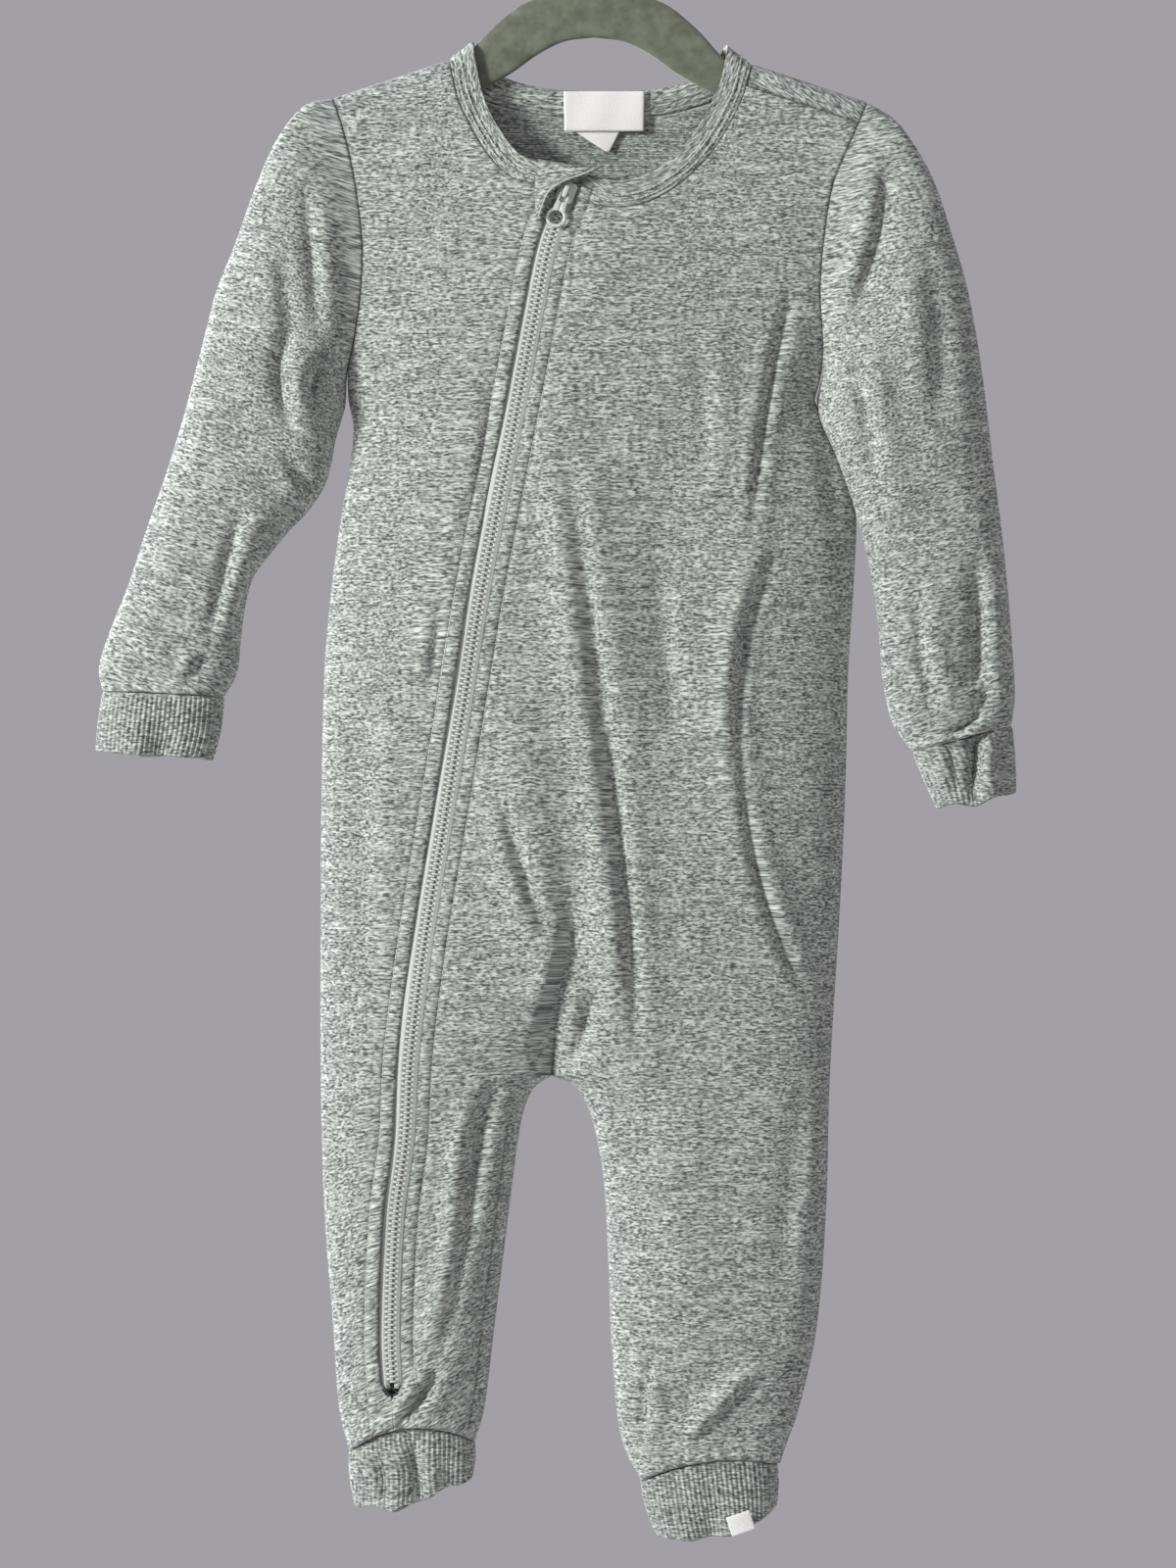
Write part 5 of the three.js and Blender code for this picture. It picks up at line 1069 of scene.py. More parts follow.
# The neckband stands up by the ridge, within its reach; its stitches lie at these shares of its height
BAND_STAND = 5
BAND_REACH = 14
BAND_STITCHES = (0.2, 0.42)
BAND_STITCH_LIFT = 1.45
BAND_SAMPLES = 300
BAND_HIGH = 12.5
BAND_CROWN = 0.9
BAND_SUNK = 0.55
BAND_SUNK_WIDE = 0.035
# How much painted shade darkens the sunk stitch rows
BAND_STITCH_SHADE = 0.4
BAND_PUCKER = 0.2
BAND_ROWS = (1, 0.97, 0.9, 0.8, 0.7, 0.6, 0.52, 0.46, 0.42, 0.38, 0.31, 0.24, 0.2, 0.16, 0.1, 0.05, 0)


def band_point(n, share):
    seam_x, seam_arc, free_x, free_arc = ring(n)
    arc = mix(seam_arc, free_arc, share)
    lift = BAND_STAND * share * np.exp(-(arc / BAND_REACH) ** 2)
    return on_cloth(mix(seam_x, free_x, share), arc, lift)


def neckband():
    """The folded strip round the neck, with two rows of stitching that sink into it."""
    n = np.linspace(0, NECK_LAST, BAND_SAMPLES)[None, :]
    share = np.array(BAND_ROWS)[:, None]
    points = band_point(n, share)
    crown = BAND_CROWN * np.sin(math.pi * clamp(share * 0.92 + 0.04)) ** 0.7
    sunk = sum(bump(share, at, BAND_SUNK_WIDE) for at in BAND_STITCHES)
    pucker = BAND_PUCKER * np.sin(n * 16 + share * 5) * (0.4 + sunk)
    places = np.stack([lengths(points), share * BAND_HIGH * np.ones_like(n)], -1)
    # The sunk stitch rows are darkened with painted shade
    return Cloth().patch(points, places, BAND_STITCH_SHADE * sunk * np.ones_like(n), crown - BAND_SUNK * sunk + pucker)


# The tape, the chain on it and where the slider is: distances are from the middle of the front's wall
TAPE_WALL = 1
TAPE_AWAY = -2.0
TAPE_RISE = 1.3
TAPE_BEAD = {"high": 0.42, "away": 2.9, "wide": 0.55}
TAPE_COLUMNS = (1, 2.0, 2.4, 2.8, 3.2, 3.6, 4.0, 4.4, 4.8, 5.2, 5.6, 6.0, 6.4, 8, 11.5)
TAPE_ROWS = 240
CHAIN_THICK = 2
CHAIN_AWAY = TAPE_AWAY + TAPE_WALL / 2 + GAP + CHAIN_THICK / 2
SLIDER_DROP = 72
SLIDER_LENGTH = 10


def zip_tape(sign):
    drops = np.linspace(ZIP_TOP - 7, ZIP_END - 1, TAPE_ROWS)[:, None]
    across = sign * np.array(TAPE_COLUMNS[::sign])[None, :]
    x, drop = beside_zip(drops, across)
    bead = TAPE_BEAD["high"] * bump(np.abs(across), TAPE_BEAD["away"], TAPE_BEAD["wide"])
    raised = TAPE_RISE * (1 - ease(clamp((np.abs(across) - 4.0) / 2.4))) * clamp((drop - SLIDER_DROP - 6) / 4)
    points, _ = off_cloth("front", x, drop, TAPE_AWAY + bead + raised, fine=False)
    return Cloth().patch(points, np.stack(np.broadcast_arrays(across, drops), -1))


def rounded_block(half, corner):
    """Points and faces of a block with its edges cut off, four-sided faces only."""
    x, y, z = half
    levels = [(-z, corner), (-z + corner, 0), (z - corner, 0), (z, corner)]
    points, faces = [], []
    for height, inset in levels:
        a, b = x - inset, y - inset
        cut = corner * 0.8
        points += [(-a, -b + cut, height), (-a + cut, -b, height), (a - cut, -b, height), (a, -b + cut, height),
                   (a, b - cut, height), (a - cut, b, height), (-a + cut, b, height), (-a, b - cut, height)]
    for level in range(3):
        low, high = level * 8, level * 8 + 8
        faces += [(low + n, low + (n + 1) % 8, high + (n + 1) % 8, high + n) for n in range(8)]
    faces += [(3, 2, 1, 0), (4, 3, 0, 7), (5, 4, 7, 6)]
    faces += [(24, 25, 26, 27), (31, 24, 27, 28), (30, 31, 28, 29)]
    return np.array(points, float), np.array(faces)


def copies(points, faces, bases, origins):
    """One mesh of many copies of a shape, each in its own frame."""
    placed = np.einsum("pk,nkj->npj", points, bases) + origins[:, None, :]
    every = faces[None] + (np.arange(len(origins)) * len(points))[:, None, None]
    return placed.reshape(-1, 3), every.reshape(-1, 4)


TOOTH_PITCH = 2.4
TOOTH_REACH = (2.35, 0.85)
TOOTH_HALF = 0.52
TOOTH_EDGE = 0.28


def zip_teeth():
    drops = np.arange(SLIDER_DROP - 1.5, ZIP_END - 4, TOOTH_PITCH / 2)
    sign = np.where(np.arange(len(drops)) % 2 == 0, 1.0, -1.0)
    middle = sign * (TOOTH_REACH[0] - TOOTH_REACH[1]) / 2
    x, drop = beside_zip(drops, middle)
    origins, normals = off_cloth("front", x, drop, np.full(len(drops), CHAIN_AWAY), fine=False)
    far, _ = off_cloth("front", *beside_zip(drops + 1, middle), np.full(len(drops), CHAIN_AWAY), fine=False)
    down = unit(far - origins)
    across = unit(np.cross(down, normals))
    bases = np.stack([across, down, normals], 1)
    points, faces = rounded_block(((TOOTH_REACH[0] + TOOTH_REACH[1]) / 2, TOOTH_HALF, CHAIN_THICK / 2), TOOTH_EDGE)
    return copies(points, faces, bases, origins)


GARAGE = table(
    "left_x left_drop right_x right_drop",
    (-25.5, 56.6, 2.2, 62.0), (-26.6, 61.5, -4.4, 65.0), (-27.1, 66.6, -11.8, 67.6), (-27.4, 73.0, -19.0, 72.4),
    (-26.9, 79.5, -22.4, 79.2), (-26.1, 85.6, -24.6, 85.8),
)
garage_at = readers(GARAGE)
# How far it lies off the cloth at both edges, and the cord in its free edge with the dip beside it and the painted
# shade laid in that dip
GARAGE_LIFT = 2.6
GARAGE_OPEN = 4.9
GARAGE_TURN = 0.3
CORD_FROM_EDGE = 1.1
CORD_TOP = 2.1
CORD_PITCH = 1.9
CORD = {"high": 1.5, "wide": 0.85}
CORD_DIP = {"away": 2.4, "high": 0.35, "wide": 0.6, "shade_away": 2.6}


def zip_garage():
    """The scrap folded over the top of the zip, its free edge rolled over a cord."""
    down = np.linspace(0, 1, 22)[:, None]
    across = np.r_[0, 0.03, np.linspace(0.08, 0.8, 12), 0.86, 0.9, 0.94, 0.97, 0.99, 1][None, :]
    left_x, left_drop, right_x, right_drop = (garage_at[name](down) for name in GARAGE)
    x, drop = mix(left_x, right_x, across), mix(left_drop, right_drop, across)
    away = mix(GARAGE_LIFT, GARAGE_OPEN, ease(across)) + 0.25 * np.sin(down * 9 + across * 4) * across * (1 - across)
    points, _ = off_cloth("front", x, drop, away, fine=False)
    width = (right_x - left_x) * (1 - across)
    cord = CORD["high"] * bump(width, CORD_FROM_EDGE, CORD["wide"])
    swell = cord - CORD_DIP["high"] * bump(width, CORD_DIP["away"], CORD_DIP["wide"])
    # Painted shade darkens the dip beside the cord
    dark = bump(width, CORD_DIP["shade_away"], CORD_DIP["wide"])
    return Cloth().patch(points, np.stack([x + drop * GARAGE_TURN, drop], -1), dark, swell)


def slider_frame():
    """Origin and axes of the slider on the zip: across, down and out."""
    x, drop = beside_zip(np.array([SLIDER_DROP, SLIDER_DROP + SLIDER_LENGTH], float), 0.0)
    places, normals = off_cloth("front", x, drop, np.zeros(2), fine=False)
    down = unit(places[1] - places[0])
    across = unit(np.cross(down, normals[0]))
    out = unit(np.cross(across, down))
    return places[0] + out * (PLATE_AWAY + PLATE), np.stack([across, down, out])


# Slider and pull tab: crown and post on the slider's plates, and the tab's outline down from its pivot
SLIDER_WIDTH = 8.4
PLATE = 1.2
PLATE_AWAY = CHAIN_AWAY + CHAIN_THICK / 2 + GAP
CROWN = {"width": 2.2, "half": 3, "high": 3.1, "inside_half": 1.3, "inside_high": 2.35}
PIVOT_HIGH = 1.2
POST = {"wide": 1.4, "deep": 1.6, "inset": 0.9}
TAB = {"thick": 1.1, "top": 0.8, "ring": 4.8, "hole": 3.3, "length": 13.2, "neck": 2.6, "slot_half": 1.5,
       "slot_end": 5.4, "shoulder": 2, "waist": 0.62, "edge": 0.3}
METAL_EDGE = 0.22


def prism(outline, low, high, edge=METAL_EDGE):
    """A plate through a closed outline, counted anticlockwise, with its edges cut off."""
    outline = np.asarray(outline, float)
    ahead = np.roll(outline, -1, 0) - outline
    normal = unit(np.stack([ahead[:, 1], -ahead[:, 0]], 1))
    inward = -unit(normal + np.roll(normal, 1, 0))
    levels = [(low, edge), (low + edge, 0), (high - edge, 0), (high, edge)]
    return [np.c_[outline + inward * inset, np.full(len(outline), z)] for z, inset in levels]


def skin(loops):
    """Faces between loops of the same count."""
    count = len(loops[0])
    n = np.arange(count)
    after = (n + 1) % count
    faces = [np.stack([n + k * count, after + k * count, after + (k + 1) * count, n + (k + 1) * count], 1)
             for k in range(len(loops) - 1)]
    return np.concatenate(loops), np.concatenate(faces)


def fan_ends(points, faces, loops):
    """Close both ends of a skin with thin strips from side to side."""
    count = len(loops[0])
    half = count // 2
    last = (len(loops) - 1) * count
    strips = []
    for n in range(half - 1):
        a, b, c, d = n, n + 1, count - 2 - n, count - 1 - n
        strips.append((last + a, last + b, last + c, last + d))
        strips.append((d, c, b, a))
    return points, np.concatenate([faces, np.array(strips)])


def joined(parts):
    """One set of points and faces from several."""
    offset, points, faces = 0, [], []
    for own_points, own_faces in parts:
        points.append(own_points)
        faces.append(own_faces + offset)
        offset += len(own_points)
    return np.concatenate(points), np.concatenate(faces)


def rounded_rectangle(half_x, half_y, radius, count=5):
    corners = [(half_x - radius, -half_y + radius, -90), (half_x - radius, half_y - radius, 0),
               (-half_x + radius, half_y - radius, 90), (-half_x + radius, -half_y + radius, 180)]
    found = []
    for x, y, start in corners:
        turn = np.radians(start + np.linspace(0, 90, count))
        found += list(zip(x + radius * np.cos(turn), y + radius * np.sin(turn)))
    return found


def block(outline, low, high):
    loops = prism(outline, low, high)
    return fan_ends(*skin(loops), loops)


def bar(outer, inner, half, edge=METAL_EDGE):
    """A flat bar between two lines of points, with its four long edges cut off."""
    towards = unit(inner - outer) * edge
    loops = [(outer + towards, -half), (outer, edge - half), (outer, half - edge), (outer + towards, half),
             (inner - towards, half), (inner, half - edge), (inner, edge - half), (inner - towards, -half)]
    rows = np.stack([np.c_[line, np.full(len(line), z)] for line, z in loops], 1)
    n, k = np.meshgrid(np.arange(len(outer) - 1), np.arange(8), indexing="ij")
    index = lambda row, column: row * 8 + column % 8
    faces = np.stack([index(n, k), index(n, k + 1), index(n + 1, k + 1), index(n + 1, k)], -1)
    return rows.reshape(-1, 3), faces.reshape(-1, 4)


def zip_slider():
    """Two plates joined by a post, and the crown that holds the pull tab."""
    back_z = -PLATE - CHAIN_THICK - 1 - 4 * GAP - PLATE / 2
    plate = rounded_rectangle(SLIDER_WIDTH / 2, SLIDER_LENGTH / 2, 1.8)
    post_y = POST["inset"] - SLIDER_LENGTH / 2
    post = [(x, y + post_y) for x, y in rounded_rectangle(POST["wide"] / 2, POST["deep"] / 2, 0.3, 3)]
    turn = np.linspace(0, math.pi, 25)
    arches = ((CROWN["half"], CROWN["high"], 0.5), (CROWN["inside_half"], CROWN["inside_high"], 0.6))
    outer, inner = (np.stack([signed_power(np.cos(turn), power) * half, signed_power(np.sin(turn), power) * high], 1)
                    for half, high, power in arches)
    outer[0, 1] = outer[-1, 1] = inner[0, 1] = inner[-1, 1] = -PLATE / 2
    arch, faces = bar(outer, inner, CROWN["width"] / 2)
    points, faces = joined([
        block(plate, -PLATE, 0), block(plate, back_z - PLATE / 2, back_z + PLATE / 2),
        block(post, back_z, -PLATE / 2), (arch[:, [2, 0, 1]], faces),
    ])
    origin, axes = slider_frame()
    return points @ axes + origin, faces


def tab_half():
    """Right half of the pull tab as pairs of its outer and inner edge, from the top to the end."""
    neck, slot, top, low = TAB["neck"], TAB["slot_half"], TAB["top"], TAB["slot_end"]
    outer = [(0.0, -top), (slot, -top), (neck, -top), (neck, 0.4), (neck, 2.5), (neck, low - 0.6), (neck, low),
             (TAB["ring"] * TAB["waist"], low + TAB["shoulder"] - 0.3)]
    inner = [(0.0, top), (slot, top), (slot, top), (slot, top + 0.3), (slot, 2.5), (slot, low - 0.3), (0.9, low),
             (0.0, low + 0.1)]
    for edge, radius, start in ((outer, TAB["ring"], math.asin(TAB["waist"])), (inner, TAB["hole"], 0)):
        turn = np.linspace(start - math.pi / 2, math.pi / 2, 26)
        edge += [(radius * math.cos(t), TAB["length"] + radius * math.sin(t)) for t in turn]
    return np.array(outer), np.array(inner)


def pull_tab():
    """The long loop with its round end, its edges rounded."""
    half, faces = bar(*tab_half(), TAB["thick"] / 2, TAB["edge"])
    points, faces = joined([(half, faces), (half * (-1, 1, 1), faces[:, ::-1])])
    origin, axes = slider_frame()
    return (points + (0, 0, PIVOT_HIGH)) @ axes + origin, faces


CARE_AWAY = -(BAND_WALL / 2 + GAP + 0.5)
NECK_AWAY = CARE_AWAY - 1 - GAP
LABELS = table(
    "top bottom top_left top_right low_left low_right corner away curl",
    (22.6, 41, -14.1, 23.7, -13.8, 23.4, 0, NECK_AWAY, 0.35), (33, 50.5, -9.2, 12.3, 5.9, 7.1, 0.45, CARE_AWAY, 0.2),
)


NECK_LABEL, CARE_LABEL = rows_of(LABELS)


def label(row):
    down = np.linspace(0, 1, 22)[:, None]
    across = np.linspace(0, 1, 44)[None, :]
    narrowing = clamp((down - row["corner"]) / (1 - row["corner"]))
    left = mix(row["top_left"], row["low_left"], narrowing)
    right = mix(row["top_right"], row["low_right"], narrowing)
    x, drop = mix(left, right, across), mix(row["top"], row["bottom"], down) * np.ones_like(across)
    curl = row["curl"] * np.sin(math.pi * across) * np.sin(2.2 * down) + 0.12 * np.sin(x / 3.1 + down * 2)
    points, _ = off_cloth("back", x, drop, row["away"] - curl, fine=False)
    return Cloth().patch(points, np.stack([x, drop], -1))


# The hanger's outline from its middle outwards, without the stretch along the shoulders
HANGER_THICK = 5
HANGER_HIGH = 19
HANGER_CLEAR = WALL / 2 + GAP + 0.4
HANGER_TOP = table(
    "x drop", (0, -23.5), (20, -22), (34, -17), (45, -8.5), (52, -1.6), (57, 4.2), (62, 9), (68, 12),
)
HANGER_TIP = table("x drop", (123, 31.5), (129, 35.2), (133, 40), (134, 45))
HANGER_LOW_TIP = table("x drop", (126, 51.5), (132, 50), (134, 45))
HANGER_UNDER = table("x drop", (0, -2), (14, 0), (26, 6), (38, 14.5), (52, 22.5))
HANGER_STATIONS = 60
HANGER_ROUND = 28


def smooth_path(points, count):
    length = np.r_[0, np.cumsum(np.hypot(*np.diff(points, axis=0).T))]
    rows = {"at": length, "x": points[:, 0], "drop": points[:, 1]}
    at = np.linspace(0, length[-1], count)
    return np.stack([curve(rows, "at", "x")(at), curve(rows, "at", "drop")(at)], -1)


def hanger():
    """The flocked bar with its neck arch, rounded all along its edges."""
    arm_top, arm_low = np.linspace(76, 116, 5), np.linspace(66, 116, 6)
    column = lambda rows: np.stack([rows["x"], rows["drop"]], -1)
    top = np.concatenate([column(HANGER_TOP), np.stack([arm_top, ridge(arm_top) + HANGER_CLEAR], -1),
                          column(HANGER_TIP)])
    low = np.concatenate([column(HANGER_UNDER), np.stack([arm_low, ridge(arm_low) + HANGER_CLEAR + HANGER_HIGH], -1),
                          column(HANGER_LOW_TIP)])
    top, low = smooth_path(top, HANGER_STATIONS), smooth_path(low, HANGER_STATIONS)
    turn = np.linspace(0, 2 * math.pi, HANGER_ROUND + 1)[:-1]
    lengthwise, sideways = signed_power(np.cos(turn), 0.28), signed_power(np.sin(turn), 0.62)
    centre, half = (top + low) / 2, (top - low) / 2
    size = np.hypot(*half.T)
    thick = HANGER_THICK / 2 * np.sqrt(np.minimum(size / 3, 1))
    loops = []
    for side, order in ((-1, range(HANGER_STATIONS - 1, 0, -1)), (1, range(HANGER_STATIONS))):
        for n in order:
            place = centre[n] + half[n] * lengthwise[:, None]
            loops.append(np.c_[place[:, 0] * side, sideways * thick[n], NECK_Z - place[:, 1]])
    points, faces = skin(loops)
    return points, faces[:, ::-1]


WIRE = 3.6
HOOK_INSIDE = 18
HOOK_START = -50
HOOK_STOP = 205
HOOK_STEM = table("x up", (0, 0.1), (0, 8), (1.5, 17))
HOOK_STATIONS = 150
HOOK_CAP = 8
HOOK_ROUND = 20


def tube_along(path, radii, sides):
    """A round wire along a path in the plane of the hanger."""
    ahead = unit(np.gradient(path, axis=0))
    aside = np.stack([ahead[:, 2], np.zeros(len(path)), -ahead[:, 0]], -1)
    turn = np.linspace(0, 2 * math.pi, sides + 1)[:-1]
    loops = [path[n] + radii[n] * (np.cos(turn)[:, None] * aside[n] + np.sin(turn)[:, None] * np.array([0, 1.0, 0]))
             for n in range(len(path))]
    return skin(loops)


def hanger_hook():
    """The chromed wire hook: a straight stem, a bend and an open arc with a rounded end."""
    radius = HOOK_INSIDE + WIRE / 2
    foot = NECK_Z - HANGER_TOP["drop"][0]
    angles = np.radians(np.arange(HOOK_START, HOOK_STOP + 1, 15))
    x = np.r_[HOOK_STEM["x"], radius * np.cos(angles)]
    z = np.r_[foot + HOOK_STEM["up"], -HOOK_INSIDE + radius * np.sin(angles)]
    path = smooth_path(np.stack([x, z], -1), HOOK_STATIONS)
    path = np.stack([path[:, 0], np.zeros(HOOK_STATIONS), path[:, 1]], -1)
    ahead = np.linspace(0, 1, HOOK_CAP)[1:]
    end = path[-1] + unit(path[-1:] - path[-2:-1]) * ahead[:, None] * WIRE / 2 * 0.9
    radii = np.r_[np.full(HOOK_STATIONS, WIRE / 2), np.sqrt(np.maximum(1 - ahead ** 2, 0)) * WIRE / 2]
    return tube_along(np.concatenate([path, end]), radii, HOOK_ROUND)


# A stitch: half its width, length and height, and how much its edges are cut
STITCH_PITCH = 2.6
STITCH = (0.3, 1.05, 0.2)
STITCH_EDGE = 0.13


def stitches(points, normals):
    """Short raised threads along a line of points, one to each gap."""
    middles = (points[1:] + points[:-1]) / 2
    ahead = unit(points[1:] - points[:-1])
    out = unit(normals[1:] + normals[:-1])
    across = unit(np.cross(ahead, out))
    return copies(*rounded_block(STITCH, STITCH_EDGE), np.stack([across, ahead, np.cross(across, ahead)], 1), middles)


def even_steps(points, at, pitch):
    """Values of at where a line through points has gone one pitch further."""
    length = np.r_[0, np.cumsum(np.linalg.norm(np.diff(points, axis=0), axis=1))]
    steps = np.linspace(0, length[-1], int(length[-1] / pitch) + 1)
    return np.interp(np.interp(steps, length, np.arange(len(points))), np.arange(len(points)), at)


def zip_stitching(sign):
    drops = np.linspace(ZIP_TOP + 12, ZIP_END + 2, 900)
    across = sign * (ZIP_HALF_OPEN + TOPSTITCH)
    rough, _ = off_cloth("front", *beside_zip(drops, across), np.full(len(drops), OUTSIDE))
    at = even_steps(rough, drops, STITCH_PITCH)
    return stitches(*off_cloth("front", *beside_zip(at, across), np.full(len(at), OUTSIDE + 0.05)))


def garage_edge(at):
    """Where the corded edge of the garage runs, and its normals."""
    x, drop = garage_at["right_x"](at) - CORD_FROM_EDGE, garage_at["right_drop"](at)
    return off_cloth("front", x, drop, np.full(len(at), GARAGE_OPEN + CORD_TOP), fine=False)


def garage_stitching():
    """The thread that holds the cord, seen as short stitches along it."""
    at = np.linspace(0.03, 0.97, 200)
    rough, _ = garage_edge(at)
    return stitches(*garage_edge(even_steps(rough, at, CORD_PITCH)))


def band_stitching(share):
    n = np.linspace(0.05, NECK_LAST - 0.05, 1200)
    at = even_steps(band_point(n, share), n, STITCH_PITCH)
    points = band_point(at, share)
    normals = unit(np.cross(np.gradient(points, axis=0), band_point(at, share + 0.04) - points))
    centre = points.mean(0) + (0, 0, -40)
    normals *= np.sign(((points - centre) * normals).sum(-1, keepdims=True))
    return stitches(points + normals * BAND_STITCH_LIFT, normals)


# The ends of its threads, beside the zip's line and below its end
BARTACK = (
    ((-3.4, 1.5), (3.2, 1.5)), ((0.2, -2.5), (-3.4, 1.5)), ((0.2, -2.5), (3.2, 1.5)), ((-2.6, 1.5), (-4.4, -1.5)),
)


def bartack():
    """The dark cross-stitches that end the zip."""
    found = []
    for thread in BARTACK:
        across, below = np.array(thread).T
        x, drop = beside_zip(ZIP_END + below, across)
        share = np.linspace(0, 1, 3)
        found.append(stitches(*off_cloth("front", mix(*x, share), mix(*drop, share), np.full(3, OUTSIDE + 0.35))))
    return joined(found)


TAG = {"x": 68, "drop": 688, "width": 11.4, "height": 9.2, "turn": 0.33, "away": 15.6}


def ankle_tag():
    """A small folded tag, slightly bowed, sewn flat on the rib."""
    across, down = np.meshgrid(np.linspace(-0.5, 0.5, 30), np.linspace(-0.5, 0.5, 24))
    wide, high = across * TAG["width"], -down * TAG["height"]
    cos, sin = math.cos(TAG["turn"]), math.sin(TAG["turn"])
    x = TAG["x"] + wide * cos - high * sin
    z = NECK_Z - TAG["drop"] + wide * sin + high * cos
    y = -TAG["away"] + 1.6 * across ** 2 + 0.15 * np.sin(down * 5)
    return Cloth().patch(np.stack([x, y, z], -1), np.stack([wide, -high], -1))


def linear(red, green, blue):
    """A colour given as it shows on a screen."""
    return tuple((value / 255) ** 2.2 for value in (red, green, blue)) + (1.0,)


class Finish:
    """A material whose pattern lies on the cloth's own places."""

    def __init__(self, name, roughness, sheen=0.0, metallic=0.0, specular=0.35):
        self.material = bpy.data.materials.new(name)
        self.material.use_nodes = True
        self.nodes, self.links = self.material.node_tree.nodes, self.material.node_tree.links
        self.shader = self.nodes["Principled BSDF"]
        for socket, value in (("Roughness", roughness), ("Metallic", metallic), ("Specular IOR Level", specular),
                              ("Sheen Weight", sheen), ("Sheen Roughness", 0.6)):
            self.shader.inputs[socket].default_value = value

    def place(self, size, shift=0.0, source="cloth"):
        """The cloth's place with one pattern's size in metres as its unit."""
        if source == "cloth":
            origin = self.nodes.new("ShaderNodeAttribute")
            origin.attribute_name = "cloth"
            output = origin.outputs["Vector"]
        else:
            output = self.nodes.new("ShaderNodeTexCoord").outputs["Object"]
        scaled = self.nodes.new("ShaderNodeMapping")
        scaled.inputs["Scale"].default_value = tuple(1 / side for side in size)
        scaled.inputs["Location"].default_value = (shift, shift * 1.7, shift)
        self.links.new(output, scaled.inputs["Vector"])
        return scaled.outputs["Vector"]

    def noise(self, size, shift=0.0, detail=2.0, source="cloth"):
        noise = self.nodes.new("ShaderNodeTexNoise")
        noise.inputs["Scale"].default_value = 1
        noise.inputs["Detail"].default_value = detail
        self.links.new(self.place(size, shift, source), noise.inputs["Vector"])
        return noise.outputs["Fac"]

    def wave(self, size, across, distortion=0.0):
        wave = self.nodes.new("ShaderNodeTexWave")
        wave.bands_direction = across
        wave.inputs["Scale"].default_value = 0.314
        wave.inputs["Distortion"].default_value = distortion
        self.links.new(self.place(size), wave.inputs["Vector"])
        return wave.outputs["Fac"]

    def ramp(self, value, low, high, start=0.0, stop=1.0):
        ramp = self.nodes.new("ShaderNodeMapRange")
        for socket, number in (("From Min", low), ("From Max", high), ("To Min", start), ("To Max", stop)):
            ramp.inputs[socket].default_value = number
        self.links.new(value, ramp.inputs["Value"])
        return ramp.outputs["Result"]

    def blend(self, first, second, share, mode="MIX"):
        node = self.nodes.new("ShaderNodeMix")
        node.data_type = "RGBA"
        node.blend_type = mode
        for socket, value in (("A", first), ("B", second)):
            target = next(entry for entry in node.inputs if entry.name == socket and entry.type == "RGBA")
            if isinstance(value, tuple):
                target.default_value = value
            else:
                self.links.new(value, target)
        if isinstance(share, float):
            node.inputs["Factor"].default_value = share
        else:
            self.links.new(share, node.inputs["Factor"])
        return next(entry for entry in node.outputs if entry.type == "RGBA")

    def colour(self, value):
        if isinstance(value, tuple):
            self.shader.inputs["Base Color"].default_value = value
        else:
            self.links.new(value, self.shader.inputs["Base Color"])
        return self

    def relief(self, *heights):
        """Fine relief from heights, each with its depth in metres."""
        normal = None
        for value, depth in heights:
            bump = self.nodes.new("ShaderNodeBump")
            bump.inputs["Distance"].default_value = depth
            bump.inputs["Strength"].default_value = 1.0
            self.links.new(value, bump.inputs["Height"])
            if normal is not None:
                self.links.new(normal, bump.inputs["Normal"])
            normal = bump.outputs["Normal"]
        self.links.new(normal, self.shader.inputs["Normal"])
        return self

    # Reads the painted shade that the cloth's shells carry
    def groove_shade(self):
        attribute = self.nodes.new("ShaderNodeAttribute")
        attribute.attribute_name = "groove_shade"
        return attribute.outputs["Fac"]


# Colours of the heather's yarns, and the painted shade colour multiplied into seams, sunk stitch lines and rib valleys
HEATHER_LIGHT = (0.70, 0.73, 0.66, 1)
HEATHER_MIDDLE = (0.30, 0.322, 0.30, 1)
HEATHER_DARK = (0.06, 0.066, 0.066, 1)
SEAM_SHADE = (0.36, 0.37, 0.36, 1)


def heather(finish, length=0.0065, shift=0.0, dark=1.0, light=1.0):
    """Grey heather: dark and light slubs along the courses, and a fine salt and pepper."""
    broad = finish.noise((0.03, 0.016, 1), shift + 9)
    streaks = finish.noise((0.022, 0.004, 1), shift + 71)
    slubs = finish.noise((length, 0.0012, 1), shift, 4.0)
    pale = finish.noise((length * 0.9, 0.0012, 1), shift + 31, 4.0)
    grain = finish.noise((0.0024, 0.0009, 1), shift + 57, 1.0)
    base = HEATHER_MIDDLE
    for colour, pattern, low, high, strength in (
        (HEATHER_DARK, slubs, 0.51, 0.62, 0.9 * dark), (HEATHER_LIGHT, pale, 0.51, 0.62, 0.8 * light),
        (HEATHER_DARK, grain, 0.53, 0.66, 0.85), (HEATHER_LIGHT, grain, 0.47, 0.34, 0.7),
        (HEATHER_DARK, streaks, 0.5, 0.72, 0.34), (HEATHER_LIGHT, streaks, 0.46, 0.28, 0.3),
        (HEATHER_DARK, broad, 0.45, 0.75, 0.14),
    ):
        base = finish.blend(base, colour, finish.ramp(pattern, low, high, 0, strength))
    return base


def shaded(finish, colour, strength):
    """A colour with painted shade multiplied in where seams, stitch lines and rib valleys sink."""
    return finish.blend(colour, SEAM_SHADE, finish.ramp(finish.groove_shade(), 0, 1, 0, strength), "MULTIPLY")


def jersey_finish():
    finish = Finish("jersey", 0.95, sheen=0.25, specular=0.12)
    finish.colour(shaded(finish, heather(finish), 0.85))
    return finish.relief((finish.noise((0.0022, 0.0009, 1), 3), 0.00035)).material


